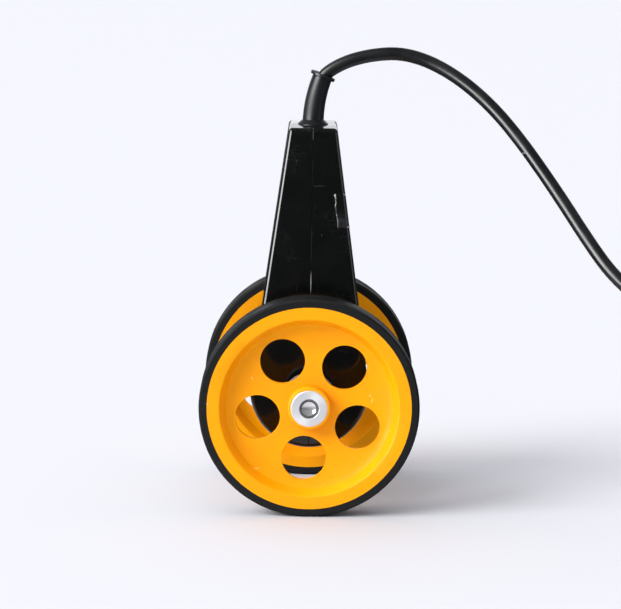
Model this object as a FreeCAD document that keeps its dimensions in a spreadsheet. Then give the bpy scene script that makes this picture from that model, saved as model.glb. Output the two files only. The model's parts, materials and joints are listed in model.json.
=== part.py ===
import FreeCAD, Part
import math
import os

import Sketcher

# Cable length counter: two rubber-tyred measuring wheels on one axle, which turns in the drum of a two-shell
# moulded handle. A slotted disc on the axle runs through a light barrier, and the cable leaves through a
# rubber boot on top. X is to the right, Y runs along the axle away from the front, Z is up, and the origin is
# on the floor under the middle of the axle.

Vector = FreeCAD.Vector

# Driving sizes, in millimetres, degrees and counts.
SIZES = {
    # Measuring wheels and tyres
    "tyre_diameter": 95.5,
    "tyre_wall": 3.5,
    "tyre_edge": 0.8,
    "tyre_key_width": 9.0,
    "tyre_key_depth": 1.0,
    "wheel_track": 84.0,
    "wheel_width": 15.0,
    "web_thickness": 2.5,
    "rim_land": 5.45,
    "dish_slope": 2.6,
    "dish_floor_round": 2.0,
    "dish_mouth_round": 1.0,
    "boss_diameter": 18.6,
    "boss_recess": 0.4,
    "boss_edge_round": 0.9,
    "web_hole_inner_room": 3.85,
    "web_hole_outer_room": 3.55,
    "web_hole_count": 5,
    "web_hole_turn": 5.1,
    # Hubs, axle and their small parts
    "hub_diameter": 16.0,
    "hub_collar_diameter": 24.0,
    "hub_collar_width": 7.0,
    "hub_nose_diameter": 11.6,
    "hub_edge": 0.4,
    "axle_diameter": 8.0,
    "axle_edge": 0.8,
    "axle_recess": 0.4,
    "slip_clearance": 0.02,
    "grub_screw_diameter": 4.0,
    "grub_screw_length": 7.2,
    "grub_socket_across": 2.0,
    "grub_socket_depth": 2.4,
    "ring_groove_depth": 0.25,
    "ring_groove_width": 0.9,
    "ring_diameter": 12.6,
    "ring_thickness": 0.8,
    "ring_mouth": 5.6,
    # Ball bearings
    "bearing_diameter": 22.0,
    "bearing_width": 7.0,
    "bearing_inner_race_diameter": 12.1,
    "bearing_outer_race_diameter": 17.9,
    "bearing_shield_thickness": 0.4,
    "bearing_shield_inset": 0.3,
    "bearing_shield_clearance": 0.3,
    "bearing_edge": 0.3,
    "ball_diameter": 3.96,
    "ball_clearance": 0.06,
    "ball_count": 7,
    # Handle shells
    "handle_depth": 42.0,
    "handle_rise": 118.65,
    "handle_taper": 7.8,
    "handle_edge_round": 2.0,
    "drum_radius": 26.2,
    "drum_lift": 3.0,
    "shell_wall": 2.5,
    "seam_edge": 0.15,
    "seam_lip_height": 1.0,
    "seam_lip_clearance": 0.1,
    "seat_wall": 3.0,
    "seat_lip_width": 1.5,
    "seat_lip_radius": 9.8,
    "drum_opening_radius": 8.0,
    "shell_screw_diameter": 3.0,
    "shell_screw_length": 12.0,
    "shell_screw_clearance": 0.2,
    "shell_screw_head_diameter": 5.6,
    "shell_screw_head_height": 2.0,
    "shell_screw_seat": 5.0,
    "shell_screw_inset": 7.4,
    "shell_screw_low": -15.3,
    "shell_screw_middle": 36.0,
    "shell_screw_drop": 14.45,
    "shell_boss_wall": 1.3,
    "screw_thread_clearance": 0.02,
    "screw_slot_width": 0.8,
    "screw_slot_depth": 0.9,
    # Encoder disc on its collar
    "disc_diameter": 32.0,
    "disc_thickness": 0.8,
    "disc_slot_circle": 27.6,
    "disc_slot_length": 2.6,
    "disc_slot_width": 1.3,
    "disc_slot_count": 30,
    "disc_collar_diameter": 14.0,
    "disc_collar_room": 3.2,
    "disc_spigot_diameter": 10.0,
    "disc_washer_diameter": 15.0,
    "disc_washer_thickness": 1.2,
    "disc_screw_diameter": 3.0,
    "disc_screw_length": 2.8,
    # Circuit board, light barrier and header
    "board_face": 17.7,
    "board_thickness": 1.6,
    "board_room": 3.5,
    "board_height": 30.0,
    "board_foot": -6.0,
    "board_screw_inset": 3.0,
    "board_screw_diameter": 2.2,
    "board_screw_length": 4.2,
    "board_screw_head_diameter": 4.2,
    "board_screw_head_height": 1.5,
    "board_screw_clearance": 0.2,
    "board_boss_wall": 1.6,
    "barrier_height": 6.0,
    "barrier_width": 12.0,
    "barrier_reach": 6.2,
    "barrier_slot_width": 3.0,
    "barrier_slot_reach": 4.9,
    "barrier_middle": 5.0,
    "header_width": 10.2,
    "header_height": 5.0,
    "header_reach": 5.0,
    "header_middle": 17.5,
    "header_plug_reach": 4.0,
    "header_end": 0.3,
    # Cable, boot and saddle clamp
    "cable_diameter": 5.8,
    "cable_grip_clearance": 0.1,
    "cable_tail": 10.0,
    "boot_diameter": 9.0,
    "boot_low_diameter": 9.4,
    "boot_high_diameter": 8.7,
    "boot_length": 22.6,
    "boot_bend": 22.0,
    "boot_foot_diameter": 13.4,
    "boot_foot_height": 2.5,
    "boot_foot_rim": 0.3,
    "boot_flange_diameter": 11.2,
    "boot_flange_thickness": 1.5,
    "boot_flange_round": 0.4,
    "boot_lock_diameter": 13.0,
    "boot_lock_thickness": 2.0,
    "boot_blend": 0.3,
    "boot_release": 5.0,
    "boot_funnel_radius": 4.4,
    "boot_funnel_depth": 4.0,
    "clamp_drop": 36.65,
    "clamp_height": 8.0,
    "clamp_width": 22.0,
    "clamp_split": 0.5,
    "clamp_rise": 4.2,
    "clamp_screw_spread": 7.5,
    "clamp_screw_length": 10.0,
    "conductor_diameter": 1.2,
    "conductor_spread": 0.8,
    "conductor_count": 4,
    "cable_first_run": 3.2,
    "cable_last_run": 10.8,
    # Stored coil and plug
    "coil_middle_x": 255.0,
    "coil_middle_y": -25.4,
    "coil_outer_radius": 40.6,
    "coil_gap": 0.5,
    "coil_layer_turns": 3,
    "coil_lead_out": 28.0,
    "plug_grip_length": 24.0,
    "plug_grip_neck_diameter": 8.4,
    "plug_grip_diameter": 15.0,
    "plug_grip_groove": 0.8,
    "plug_sleeve_diameter": 13.6,
    "plug_sleeve_length": 15.0,
    "plug_sleeve_wall": 1.0,
    "plug_collar_diameter": 16.6,
    "plug_collar_length": 3.0,
    "plug_insert_recess": 0.6,
    "plug_contact_diameter": 2.0,
    "plug_contact_bore": 1.1,
    "plug_contact_length": 8.0,
    "plug_contact_circle": 6.4,
    "plug_contact_count": 4,
    # Room by which a cutting shape runs past what it cuts
    "overrun": 1.0,
}

# Route of the cable from the boot to the coil, chosen by hand from the photograph. Its first two points
# follow the boot's bend, and its last two the coil's start.
CABLE_ROUTE = [
    (7.2, 0.0, 190.4),
    (15.4, 0.0, 194.7),
    (26.1, 0.0, 197.4),
    (38.5, 0.0, 198.3),
    (51.9, -2.1, 194.6),
    (65.8, -7.4, 186.7),
    (79.0, -14.2, 175.5),
    (91.0, -21.8, 161.6),
    (105.0, -32.1, 142.4),
    (119.2, -44.1, 121.5),
    (128.4, -52.5, 108.0),
    (139.6, -60.7, 96.8),
    (151.5, -64.6, 83.2),
    (163.5, -66.6, 67.8),
    (175.5, -67.2, 51.8),
    (187.0, -67.2, 37.2),
    (197.8, -66.9, 25.0),
    (207.8, -66.6, 15.9),
    (218.2, -66.3, 9.3),
    (229.0, -66.1, 5.1),
]
# An arc takes this share of the shorter run beside it.
ARC_SHARE = 0.45


class Size:
    """A number together with the spreadsheet formula that gives it."""

    def __init__(self, value, formula):
        self.value = value
        self.formula = formula

    def __add__(self, other):
        return Size(self.value + number(other), f"({self.formula} + {formula(other)})")

    def __radd__(self, other):
        return Size(number(other) + self.value, f"({formula(other)} + {self.formula})")

    def __sub__(self, other):
        return Size(self.value - number(other), f"({self.formula} - {formula(other)})")

    def __rsub__(self, other):
        return Size(number(other) - self.value, f"({formula(other)} - {self.formula})")

    def __mul__(self, other):
        return Size(self.value * number(other), f"({self.formula} * {formula(other)})")

    def __rmul__(self, other):
        return Size(number(other) * self.value, f"({formula(other)} * {self.formula})")

    def __truediv__(self, other):
        return Size(self.value / number(other), f"({self.formula} / {formula(other)})")

    def __rtruediv__(self, other):
        return Size(number(other) / self.value, f"({formula(other)} / {self.formula})")

    def __neg__(self):
        return Size(-self.value, f"(-{self.formula})")


def number(size):
    """The plain number of a size, or of a number."""
    return size.value if isinstance(size, Size) else float(size)


def formula(size):
    """The spreadsheet formula of a size, or of a number."""
    return size.formula if isinstance(size, Size) else repr(size)


def sine(angle):
    return Size(math.sin(math.radians(angle.value)), f"sin({angle.formula} * 1 deg)")


def cosine(angle):
    return Size(math.cos(math.radians(angle.value)), f"cos({angle.formula} * 1 deg)")


def root(size):
    return Size(math.sqrt(size.value), f"sqrt({size.formula})")


class Sizes:
    """The sheet's sizes by name, and those that follow from them."""

    def __init__(self, sheet):
        for row, (name, value) in enumerate(SIZES.items(), start=1):
            sheet.set(f"A{row}", name)
            sheet.set(f"B{row}", repr(value))
            sheet.setAlias(f"B{row}", name)
            setattr(self, name, Size(value, f"{sheet.Name}.{name}"))
        self.axle_height = self.tyre_diameter / 2
        self.axle_radius = self.axle_diameter / 2
        self.bore_radius = self.axle_radius + self.slip_clearance
        self.rim_radius = self.tyre_diameter / 2 - self.tyre_wall
        self.dish_mouth_radius = self.rim_radius - self.rim_land
        self.dish_floor_radius = self.dish_mouth_radius - self.dish_slope
        hole_inside = self.boss_diameter / 2 + self.web_hole_inner_room
        hole_outside = self.dish_floor_radius - self.web_hole_outer_room
        self.web_hole_diameter = hole_outside - hole_inside
        self.web_hole_place = (hole_outside + hole_inside) / 2
        self.wheel_middle = self.wheel_track / 2
        self.half_width = self.wheel_width / 2
        self.boss_face = self.half_width - self.boss_recess
        self.hub_face = self.wheel_middle + self.half_width
        self.hub_shoulder = self.wheel_middle - self.boss_face
        self.hub_collar_face = self.hub_shoulder - self.hub_collar_width
        self.half_depth = self.handle_depth / 2
        self.bearing_outside = self.half_depth - self.shell_wall
        self.bearing_inside = self.bearing_outside - self.bearing_width
        self.bearing_middle = self.bearing_outside - self.bearing_width / 2
        self.seat_end = self.bearing_inside - self.seat_lip_width
        self.shell_screw_spread = self.half_depth - self.shell_screw_inset
        self.shell_screw_high = self.handle_rise - self.shell_screw_drop
        collar_end = self.bearing_inside - self.ring_groove_width - self.disc_collar_room
        self.disc_collar_length = collar_end - self.disc_thickness / 2
        self.board_width = (self.half_depth - self.shell_wall - self.board_room) * 2
        self.conductor_pitch = (self.header_width - self.header_end * 2) / self.conductor_count
        self.clamp_middle = self.handle_rise - self.clamp_drop
        self.cable_tail_end = self.clamp_middle - self.cable_tail
        self.cable_radius = self.cable_diameter / 2
        self.cable_way_radius = self.cable_radius + self.cable_grip_clearance
        self.board_back = self.board_face + self.board_thickness
        self.bend_radius = self.boot_length * 180 / math.pi / self.boot_bend
        self.release_bend = self.boot_bend - self.boot_bend * self.boot_release / self.boot_length
        self.coil_pitch = self.cable_diameter + self.coil_gap
        self.plug_height = self.cable_radius + self.coil_pitch


def bind(thing, path, size):
    """Ties a property to the spreadsheet."""
    if isinstance(size, Size):
        thing.setExpression(path, size.formula)


def new_body(doc, name):
    body = doc.addObject("PartDesign::Body", name)
    body.Label = name
    return body


def sketch_on(body, plane, offset=None):
    """An empty sketch on one of the body's own origin planes, or parallel to it at an offset."""
    sketch = body.newObject("Sketcher::SketchObject", f"{body.Name}_sketch")
    origin = next(o for o in body.Origin.OriginFeatures if o.Role == plane)
    sketch.AttachmentSupport = [(origin, "")]
    sketch.MapMode = "FlatFace"
    if offset is not None:
        sketch.AttachmentOffset = FreeCAD.Placement(Vector(0, 0, number(offset)), FreeCAD.Rotation())
        bind(sketch, "AttachmentOffset.Base.z", offset)
    return sketch


def hold_point(sketch, geometry, corner, across, up):
    """Fixes a point of a sketch at across and up from its origin."""
    for kind, axis, size in (("DistanceX", -2, across), ("DistanceY", -1, up)):
        if not isinstance(size, Size):
            sketch.addConstraint(Sketcher.Constraint("PointOnObject", geometry, corner, axis))
            continue
        held = sketch.addConstraint(Sketcher.Constraint(kind, -1, 1, geometry, corner, size.value))
        sketch.setExpression(f"Constraints[{held}]", size.formula)


def draw_outline(sketch, corners, arcs=None):
    """A closed outline. arcs gives, for the edge that starts at a corner, its radius and its turning sense:
    1 turns left along the outline and -1 turns right."""
    arcs = arcs or {}
    places = [Vector(number(x), number(y), 0) for x, y in corners]
    count = len(places)
    first = sketch.GeometryCount
    ends = []
    for i, start in enumerate(places):
        end = places[(i + 1) % count]
        if i not in arcs:
            sketch.addGeometry(Part.LineSegment(start, end))
            ends.append((1, 2))
            continue
        radius, sense = arcs[i]
        chord = end - start
        rise = math.sqrt(max(radius.value**2 - (chord.Length / 2) ** 2, 0))
        left = Vector(-chord.y, chord.x, 0).normalize()
        centre = (start + end) * 0.5 + left * (rise * sense)
        angles = [math.atan2(p.y - centre.y, p.x - centre.x) for p in (start, end)]
        ends.append((1, 2) if sense > 0 else (2, 1))
        low, high = angles if sense > 0 else angles[::-1]
        circle = Part.Circle(centre, Vector(0, 0, 1), radius.value)
        sketch.addGeometry(Part.ArcOfCircle(circle, low, high if high > low else high + 2 * math.pi))
    for i, (x, y) in enumerate(corners):
        before = (i - 1) % count
        joint = (first + before, ends[before][1], first + i, ends[i][0])
        sketch.addConstraint(Sketcher.Constraint("Coincident", *joint))
        hold_point(sketch, first + i, ends[i][0], x, y)
    for i, (radius, _) in arcs.items():
        held = sketch.addConstraint(Sketcher.Constraint("Radius", first + i, radius.value))
        sketch.setExpression(f"Constraints[{held}]", radius.formula)


def draw_circle(sketch, across, up, radius):
    circle = Part.Circle(Vector(number(across), number(up), 0), Vector(0, 0, 1), radius.value)
    index = sketch.addGeometry(circle)
    held = sketch.addConstraint(Sketcher.Constraint("Radius", index, radius.value))
    sketch.setExpression(f"Constraints[{held}]", radius.formula)
    hold_point(sketch, index, 3, across, up)


def draw_box(sketch, left, right, low, high):
    draw_outline(sketch, [(left, low), (right, low), (right, high), (left, high)])


def add_feature(body, kind, sketch, size=None, symmetric=False, backwards=False):
    """A pad or pocket of a sketch. With no size a pocket goes through everything."""
    feature = body.newObject(kind, f"{body.Name}_feature")
    feature.Profile = sketch
    sketch.Visibility = False
    if size is None:
        feature.Type = "ThroughAll"
    else:
        feature.Length = number(size)
        bind(feature, "Length", size)
    feature.SideType = "Symmetric" if symmetric else "One side"
    feature.Reversed = backwards
    body.Tip = feature
    body.Document.recompute()
    return feature


def pad(body, sketch, size, symmetric=False, backwards=False):
    return add_feature(body, "PartDesign::Pad", sketch, size, symmetric, backwards)


def pocket(body, sketch, size=None, symmetric=False, backwards=False):
    """Cuts a sketch away, and makes sure that something was cut."""
    before = body.Shape.Volume
    feature = add_feature(body, "PartDesign::Pocket", sketch, size, symmetric, backwards)
    if body.Shape.Volume >= before:
        raise ValueError(f"{body.Label}: a pocket cut nothing")
    return feature


def turned(body, sketch, axis="V_Axis", kind="PartDesign::Revolution"):
    """A full turn of a sketch about one of its axes: a solid, or with a groove a cut."""
    before = body.Shape.Volume if kind.endswith("Groove") else math.inf
    feature = body.newObject(kind, f"{body.Name}_turned")
    feature.Profile = sketch
    feature.ReferenceAxis = (sketch, [axis])
    feature.Angle = 360
    sketch.Visibility = False
    body.Tip = feature
    body.Document.recompute()
    if body.Shape.Volume >= before:
        raise ValueError(f"{body.Label}: a groove cut nothing")
    return feature


def turned_body(doc, name, profile, arcs=None):
    """A body of revolution about its own Z, from an outline of radii and heights."""
    body = new_body(doc, name)
    sketch = sketch_on(body, "XZ_Plane")
    draw_outline(sketch, profile, arcs)
    turned(body, sketch)
    return body


def polar_pattern(body, feature, count):
    axis = next(o for o in body.Origin.OriginFeatures if o.Role == "Z_Axis")
    pattern = body.newObject("PartDesign::PolarPattern", f"{body.Name}_pattern")
    pattern.Originals = [feature]
    pattern.Axis = (axis, [""])
    pattern.Angle = 360
    pattern.Occurrences = int(count.value)
    bind(pattern, "Occurrences", count)
    body.Tip = pattern
    body.Document.recompute()
    return pattern


def primitive(doc, kind, name, **sizes):
    """A Part primitive whose properties follow the spreadsheet."""
    thing = doc.addObject(kind, name)
    for path, size in sizes.items():
        setattr(thing, path, number(size))
        bind(thing, path, size)
    return thing


def put(thing, x=0, y=0, z=0, rotation=None):
    """Places a thing at x, y and z, which stay tied to the spreadsheet."""
    base = Vector(number(x), number(y), number(z))
    thing.Placement = FreeCAD.Placement(base, rotation or FreeCAD.Rotation())
    for path, size in (("x", x), ("y", y), ("z", z)):
        bind(thing, f"Placement.Base.{path}", size)
    return thing


def cut(doc, name, base, tool):
    thing = doc.addObject("Part::Cut", name)
    thing.Base = base
    thing.Tool = tool
    return labelled(thing, name)


def fuse(doc, name, shapes):
    thing = doc.addObject("Part::MultiFuse", name)
    thing.Shapes = shapes
    return labelled(thing, name)


def group(doc, name, shapes):
    """Separate solids that share one node."""
    thing = doc.addObject("Part::Compound", name)
    thing.Links = shapes
    return labelled(thing, name)


def labelled(thing, name):
    thing.Label = name
    thing.Document.recompute()
    return thing


def axes(x, y, z):
    """The rotation that turns the own axes of a piece to these directions."""
    return FreeCAD.Rotation(Vector(*x), Vector(*y), Vector(*z), "ZXY")


# A turned piece's own Z points outwards from the handle's middle, and its own Y stays up.
OUTWARDS = {"front": axes((1, 0, 0), (0, 0, 1), (0, -1, 0)), "rear": axes((-1, 0, 0), (0, 0, 1), (0, 1, 0))}
OUTWARD_SENSE = {"front": -1, "rear": 1}
ALONG_X = axes((0, 1, 0), (0, 0, 1), (1, 0, 0))
AGAINST_X = axes((0, 0, 1), (0, 1, 0), (-1, 0, 0))


# Wheels and tyres


def wheel(doc, s, end):
    """A moulded wheel, dished on both sides, with round holes in its web and a channel for the tyre's
    key."""
    web = s.web_thickness / 2
    key = s.tyre_key_width / 2
    channel = s.rim_radius - s.tyre_key_depth
    boss = s.boss_diameter / 2
    round_off = s.boss_edge_round
    slope_up = s.half_width - web - s.dish_floor_round / 2
    slope = root(s.dish_slope * s.dish_slope + slope_up * slope_up)
    ease = s.dish_mouth_round * (slope - s.dish_slope) / slope_up
    half = [
        (boss - round_off, s.boss_face),
        (boss, s.boss_face - round_off),
        (boss, web),
        (s.dish_floor_radius - s.dish_floor_round, web),
        (s.dish_floor_radius, web + s.dish_floor_round / 2),
        (s.dish_mouth_radius - ease * s.dish_slope / slope, s.half_width - ease * slope_up / slope),
        (s.dish_mouth_radius + ease, s.half_width),
        (s.rim_radius, s.half_width),
        (s.rim_radius, key),
        (channel, key),
    ]
    core = s.hub_diameter / 2
    profile = [(core, s.boss_face), *half]
    profile += [(x, -y) for x, y in reversed(half)]
    profile += [(core, -s.boss_face)]
    last = len(profile) - 1
    arcs = {1: (round_off, -1), last - 2: (round_off, -1)}
    arcs |= {6: (s.dish_mouth_round, -1), last - 7: (s.dish_mouth_round, -1)}
    body = turned_body(doc, f"{end}_wheel", profile, arcs)
    sketch = sketch_on(body, "XY_Plane")
    across = -s.web_hole_place * sine(s.web_hole_turn)
    up = -s.web_hole_place * cosine(s.web_hole_turn)
    draw_circle(sketch, across, up, s.web_hole_diameter / 2)
    hole = pocket(body, sketch, s.wheel_width, symmetric=True)
    polar_pattern(body, hole, s.web_hole_count)
    return put(body, y=s.wheel_middle * OUTWARD_SENSE[end], z=s.axle_height, rotation=OUTWARDS[end])


def tyre(doc, s, end):
    """A rubber ring with a key on its inside that sits in the wheel's channel."""
    outer = s.tyre_diameter / 2
    key = s.tyre_key_width / 2
    channel = s.rim_radius - s.tyre_key_depth
    half = [
        (s.rim_radius, s.half_width),
        (outer - s.tyre_edge, s.half_width),
        (outer, s.half_width - s.tyre_edge),
    ]
    profile = [(channel, key), (s.rim_radius, key), *half]
    profile += [(x, -y) for x, y in reversed(half)]
    profile += [(s.rim_radius, -key), (channel, -key)]
    body = turned_body(doc, f"{end}_tyre", profile)
    return put(body, y=s.wheel_middle * OUTWARD_SENSE[end], z=s.axle_height, rotation=OUTWARDS[end])


# Hubs and axle


def hub(doc, s, end):
    """A turned hub: a face disc and sleeve through the wheel, a collar behind it and a nose to the
    bearing."""
    radius = s.hub_diameter / 2
    nose = s.hub_nose_diameter / 2
    collar = s.hub_collar_diameter / 2
    profile = [
        (s.bore_radius, s.bearing_outside),
        (nose, s.bearing_outside),
        (nose, s.hub_collar_face),
        (collar - s.hub_edge, s.hub_collar_face),
        (collar, s.hub_collar_face + s.hub_edge),
        (collar, s.hub_shoulder),
        (radius, s.hub_shoulder),
        (radius, s.hub_face - s.hub_edge),
        (radius - s.hub_edge, s.hub_face),
        (s.bore_radius + s.hub_edge, s.hub_face),
        (s.bore_radius, s.hub_face - s.hub_edge),
    ]
    body = turned_body(doc, f"{end}_hub", profile)
    sketch = sketch_on(body, "XZ_Plane")
    hole = s.grub_screw_diameter / 2 + s.screw_thread_clearance
    draw_circle(sketch, 0, s.hub_shoulder - s.hub_collar_width / 2, hole)
    pocket(body, sketch, collar + s.overrun)
    return put(body, z=s.axle_height, rotation=OUTWARDS[end])


def axle(doc, s):
    """A ground rod with a ring groove inside of each bearing."""
    radius = s.axle_radius
    groove = radius - s.ring_groove_depth
    end = s.hub_face - s.axle_recess
    ring = s.bearing_inside - s.ring_groove_width
    half = [
        (radius - s.axle_edge, end),
        (radius, end - s.axle_edge),
        (radius, s.bearing_inside),
        (groove, s.bearing_inside),
        (groove, ring),
        (radius, ring),
    ]
    profile = [(0, end), *half, *[(x, -y) for x, y in reversed(half)], (0, -end)]
    body = turned_body(doc, "axle", profile)
    return put(body, z=s.axle_height, rotation=OUTWARDS["front"])


def grub_screw(doc, name, diameter, length, across, depth):
    """A headless screw along its own Z, with a hexagon socket in its far end."""
    body = new_body(doc, name)
    sketch = sketch_on(body, "XY_Plane")
    draw_circle(sketch, 0, 0, diameter / 2)
    pad(body, sketch, length)
    sketch = sketch_on(body, "XY_Plane", length)
    side = across / root(Size(3, "3"))
    half = across / 2
    upper = [(side, 0), (side / 2, half), (-side / 2, half)]
    draw_outline(sketch, upper + [(-across, -up) for across, up in upper])
    pocket(body, sketch, depth)
    return body


def hub_grub_screws(doc, s):
    """One grub screw in the collar of each hub, on the axle's upper side."""
    screws = []
    middle = s.hub_shoulder - s.hub_collar_width / 2
    for end in ("front", "rear"):
        sizes = (s.grub_screw_diameter, s.grub_screw_length, s.grub_socket_across, s.grub_socket_depth)
        screw = grub_screw(doc, f"{end}_grub_screw", *sizes)
        put(screw, y=middle * OUTWARD_SENSE[end], z=s.axle_height + s.bore_radius)
        screws.append(screw)
    return group(doc, "hub_grub_screws", screws)


def retaining_rings(doc, s):
    """Open rings in the axle's grooves, against the inner ring of each bearing."""
    rings = []
    for end in ("front", "rear"):
        thick, edge = s.ring_thickness, s.ring_diameter / 2
        hole = s.axle_radius - s.ring_groove_depth + s.slip_clearance
        outer = primitive(doc, "Part::Cylinder", f"{end}_ring_blank", Radius=edge, Height=thick)
        inner = primitive(doc, "Part::Cylinder", f"{end}_ring_hole", Radius=hole, Height=thick)
        mouth = primitive(
            doc,
            "Part::Box",
            f"{end}_ring_mouth",
            Length=s.ring_mouth,
            Width=s.ring_diameter,
            Height=thick,
        )
        put(mouth, x=-s.ring_mouth / 2)
        ring = cut(doc, f"{end}_ring", outer, fuse(doc, f"{end}_ring_opening", [inner, mouth]))
        low = s.bearing_inside - s.ring_thickness
        put(ring, y=low * OUTWARD_SENSE[end], z=s.axle_height, rotation=OUTWARDS[end])
        rings.append(ring)
    return group(doc, "retaining_rings", rings)


# Ball bearings


def bearing_inner_ring(doc, s, end):
    """The bearing's inner ring, with its ball groove."""
    inner, outer = s.axle_radius, s.bearing_inner_race_diameter / 2
    return bearing_ring(doc, s, f"{end}_bearing_inner_ring", end, inner, outer, 1)


def bearing_ring(doc, s, name, end, plain, grooved, sense):
    """A ring with a plain face, a grooved face and eased corners on the plain side. sense is 1 where the
    grooved face looks outwards from the axle."""
    half = s.bearing_width / 2
    ease = s.bearing_edge
    groove = s.ball_diameter / 2 + s.ball_clearance
    pitch = ball_pitch_radius(s)
    reach = (grooved - pitch) * sense
    mouth = root(groove * groove - reach * reach)
    profile = [
        (plain, half - ease),
        (plain + ease * sense, half),
        (grooved, half),
        (grooved, mouth),
        (grooved, -mouth),
        (grooved, -half),
        (plain + ease * sense, -half),
        (plain, ease - half),
    ]
    body = turned_body(doc, name, profile, {3: (groove, sense)})
    return put(body, y=s.bearing_middle * OUTWARD_SENSE[end], z=s.axle_height, rotation=OUTWARDS[end])


def ball_pitch_radius(s):
    return (s.bearing_inner_race_diameter + s.bearing_outer_race_diameter) / 4


def bearing_outer_ring(doc, s, end):
    """The bearing's outer ring, with its ball groove."""
    outer, inner = s.bearing_diameter / 2, s.bearing_outer_race_diameter / 2
    return bearing_ring(doc, s, f"{end}_bearing_outer_ring", end, outer, inner, -1)


def bearing_shields(doc, s, end):
    """The two thin shields inside the outer ring, which close the bearing."""
    shields = []
    outer = s.bearing_outer_race_diameter / 2
    inner = s.bearing_inner_race_diameter / 2 + s.bearing_shield_clearance
    reach = s.bearing_width / 2 - s.bearing_shield_inset
    thick = s.bearing_shield_thickness
    for side, low in (("outer", reach - thick), ("inner", -reach)):
        name = f"{end}_{side}_shield"
        blank = primitive(doc, "Part::Cylinder", f"{name}_blank", Radius=outer, Height=thick)
        hole = primitive(doc, "Part::Cylinder", f"{name}_hole", Radius=inner, Height=thick)
        shield = cut(doc, name, blank, hole)
        place = (s.bearing_middle + low) * OUTWARD_SENSE[end]
        shields.append(put(shield, y=place, z=s.axle_height, rotation=OUTWARDS[end]))
    return group(doc, f"{end}_bearing_shields", shields)


def bearing_balls(doc, s, end):
    """The ring of balls, which rolls round the axle at its own pace."""
    balls = []
    pitch = ball_pitch_radius(s)
    for index in range(int(s.ball_count.value)):
        ball = primitive(doc, "Part::Sphere", f"{end}_ball_{index + 1}", Radius=s.ball_diameter / 2)
        turn = 360 / s.ball_count * index
        across, up = pitch * sine(turn), pitch * cosine(turn)
        put(ball, x=across, y=s.bearing_middle * OUTWARD_SENSE[end], z=s.axle_height + up)
        balls.append(ball)
    return group(doc, f"{end}_bearing_balls", balls)


# Handle shells


def flank(s, inset, up):
    """Half the handle's width at a height, on the tapered flank or on its inside at an inset."""
    reach = s.drum_radius - inset
    return (reach - (up - s.drum_lift) * sine(s.handle_taper)) / cosine(s.handle_taper)


def half_outline(s, sketch, side, inset, top):
    """Half of the handle's front outline, from the seam to the tapered flank and round the drum."""
    radius = s.drum_radius - inset
    across = radius * cosine(s.handle_taper)
    tangent_up = s.drum_lift + radius * sine(s.handle_taper)
    corners = [
        (0, top),
        (flank(s, inset, top) * side, top),
        (across * side, tangent_up),
        (0, s.drum_lift - radius),
    ]
    draw_outline(sketch, corners, {2: (radius, -side)})


def screw_places(s):
    """Where the shells' screws sit, along the axle and up from it."""
    ups = (s.shell_screw_low, s.shell_screw_middle, s.shell_screw_high)
    return [(s.shell_screw_spread * sense, up) for up in ups for sense in (-1, 1)]


def board_screw_places(s):
    inset = s.board_screw_inset
    aways = [(s.board_width / 2 - inset) * sense for sense in (-1, 1)]
    ups = (s.board_foot + inset, s.board_foot + s.board_height - inset)
    return [(away, up) for up in ups for away in aways]


def shell_core(doc, s, name, side, boss_radius):
    """The hollow of a shell: the inset outline, less its screw bosses and the walls of the bearing seats."""
    core = new_body(doc, f"{name}_core")
    sketch = sketch_on(core, "XZ_Plane")
    half_outline(s, sketch, side, s.shell_wall, s.handle_rise - s.shell_wall)
    pad(core, sketch, s.handle_depth - s.shell_wall * 2, symmetric=True)
    sketch = sketch_on(core, "YZ_Plane")
    for away, up in screw_places(s):
        draw_circle(sketch, away, up, boss_radius)
    pocket(core, sketch, s.drum_radius, backwards=side > 0)
    sketch = sketch_on(core, "YZ_Plane")
    seat = s.bearing_diameter / 2 + s.seat_wall
    ends = s.half_depth + s.overrun
    draw_outline(sketch, [(s.seat_end, 0), (ends, 0), (ends, seat), (s.seat_end, seat)])
    turned(core, sketch, "H_Axis", "PartDesign::Groove")
    sketch = sketch_on(core, "YZ_Plane")
    draw_outline(sketch, [(-s.seat_end, 0), (-s.seat_end, seat), (-ends, seat), (-ends, 0)])
    turned(core, sketch, "H_Axis", "PartDesign::Groove")
    return core


def shell_form(doc, s, name, side):
    """The outside of a shell with its eased edges, its way for the axle and bearings, and the cable's
    way."""
    form = new_body(doc, f"{name}_form")
    sketch = sketch_on(form, "XZ_Plane")
    half_outline(s, sketch, side, 0 * s.shell_wall, s.handle_rise)
    pad(form, sketch, s.handle_depth, symmetric=True)
    round_outer_edges(form, s)
    ease_seam_edges(form, s)
    if side < 0:
        seam_lip(form, s)
    else:
        seam_rebate(form, s)
    sketch = sketch_on(form, "YZ_Plane")
    bearing = s.bearing_diameter / 2
    ends = s.half_depth + s.overrun
    steps = [
        (ends, 0),
        (ends, s.drum_opening_radius),
        (s.bearing_outside, s.drum_opening_radius),
        (s.bearing_outside, bearing),
        (s.bearing_inside, bearing),
        (s.bearing_inside, s.seat_lip_radius),
    ]
    draw_outline(sketch, steps + [(-x, y) for x, y in reversed(steps)])
    turned(form, sketch, "H_Axis", "PartDesign::Groove")
    sketch = sketch_on(form, "XY_Plane", s.handle_rise + s.overrun)
    draw_circle(sketch, 0, 0, s.boot_diameter / 2 + s.slip_clearance)
    pocket(form, sketch, s.shell_wall + s.overrun * 2)
    sketch = sketch_on(form, "XY_Plane", s.handle_rise)
    draw_circle(sketch, 0, 0, s.cable_way_radius)
    pocket(form, sketch, s.handle_rise - s.cable_tail_end)
    return form


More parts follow.
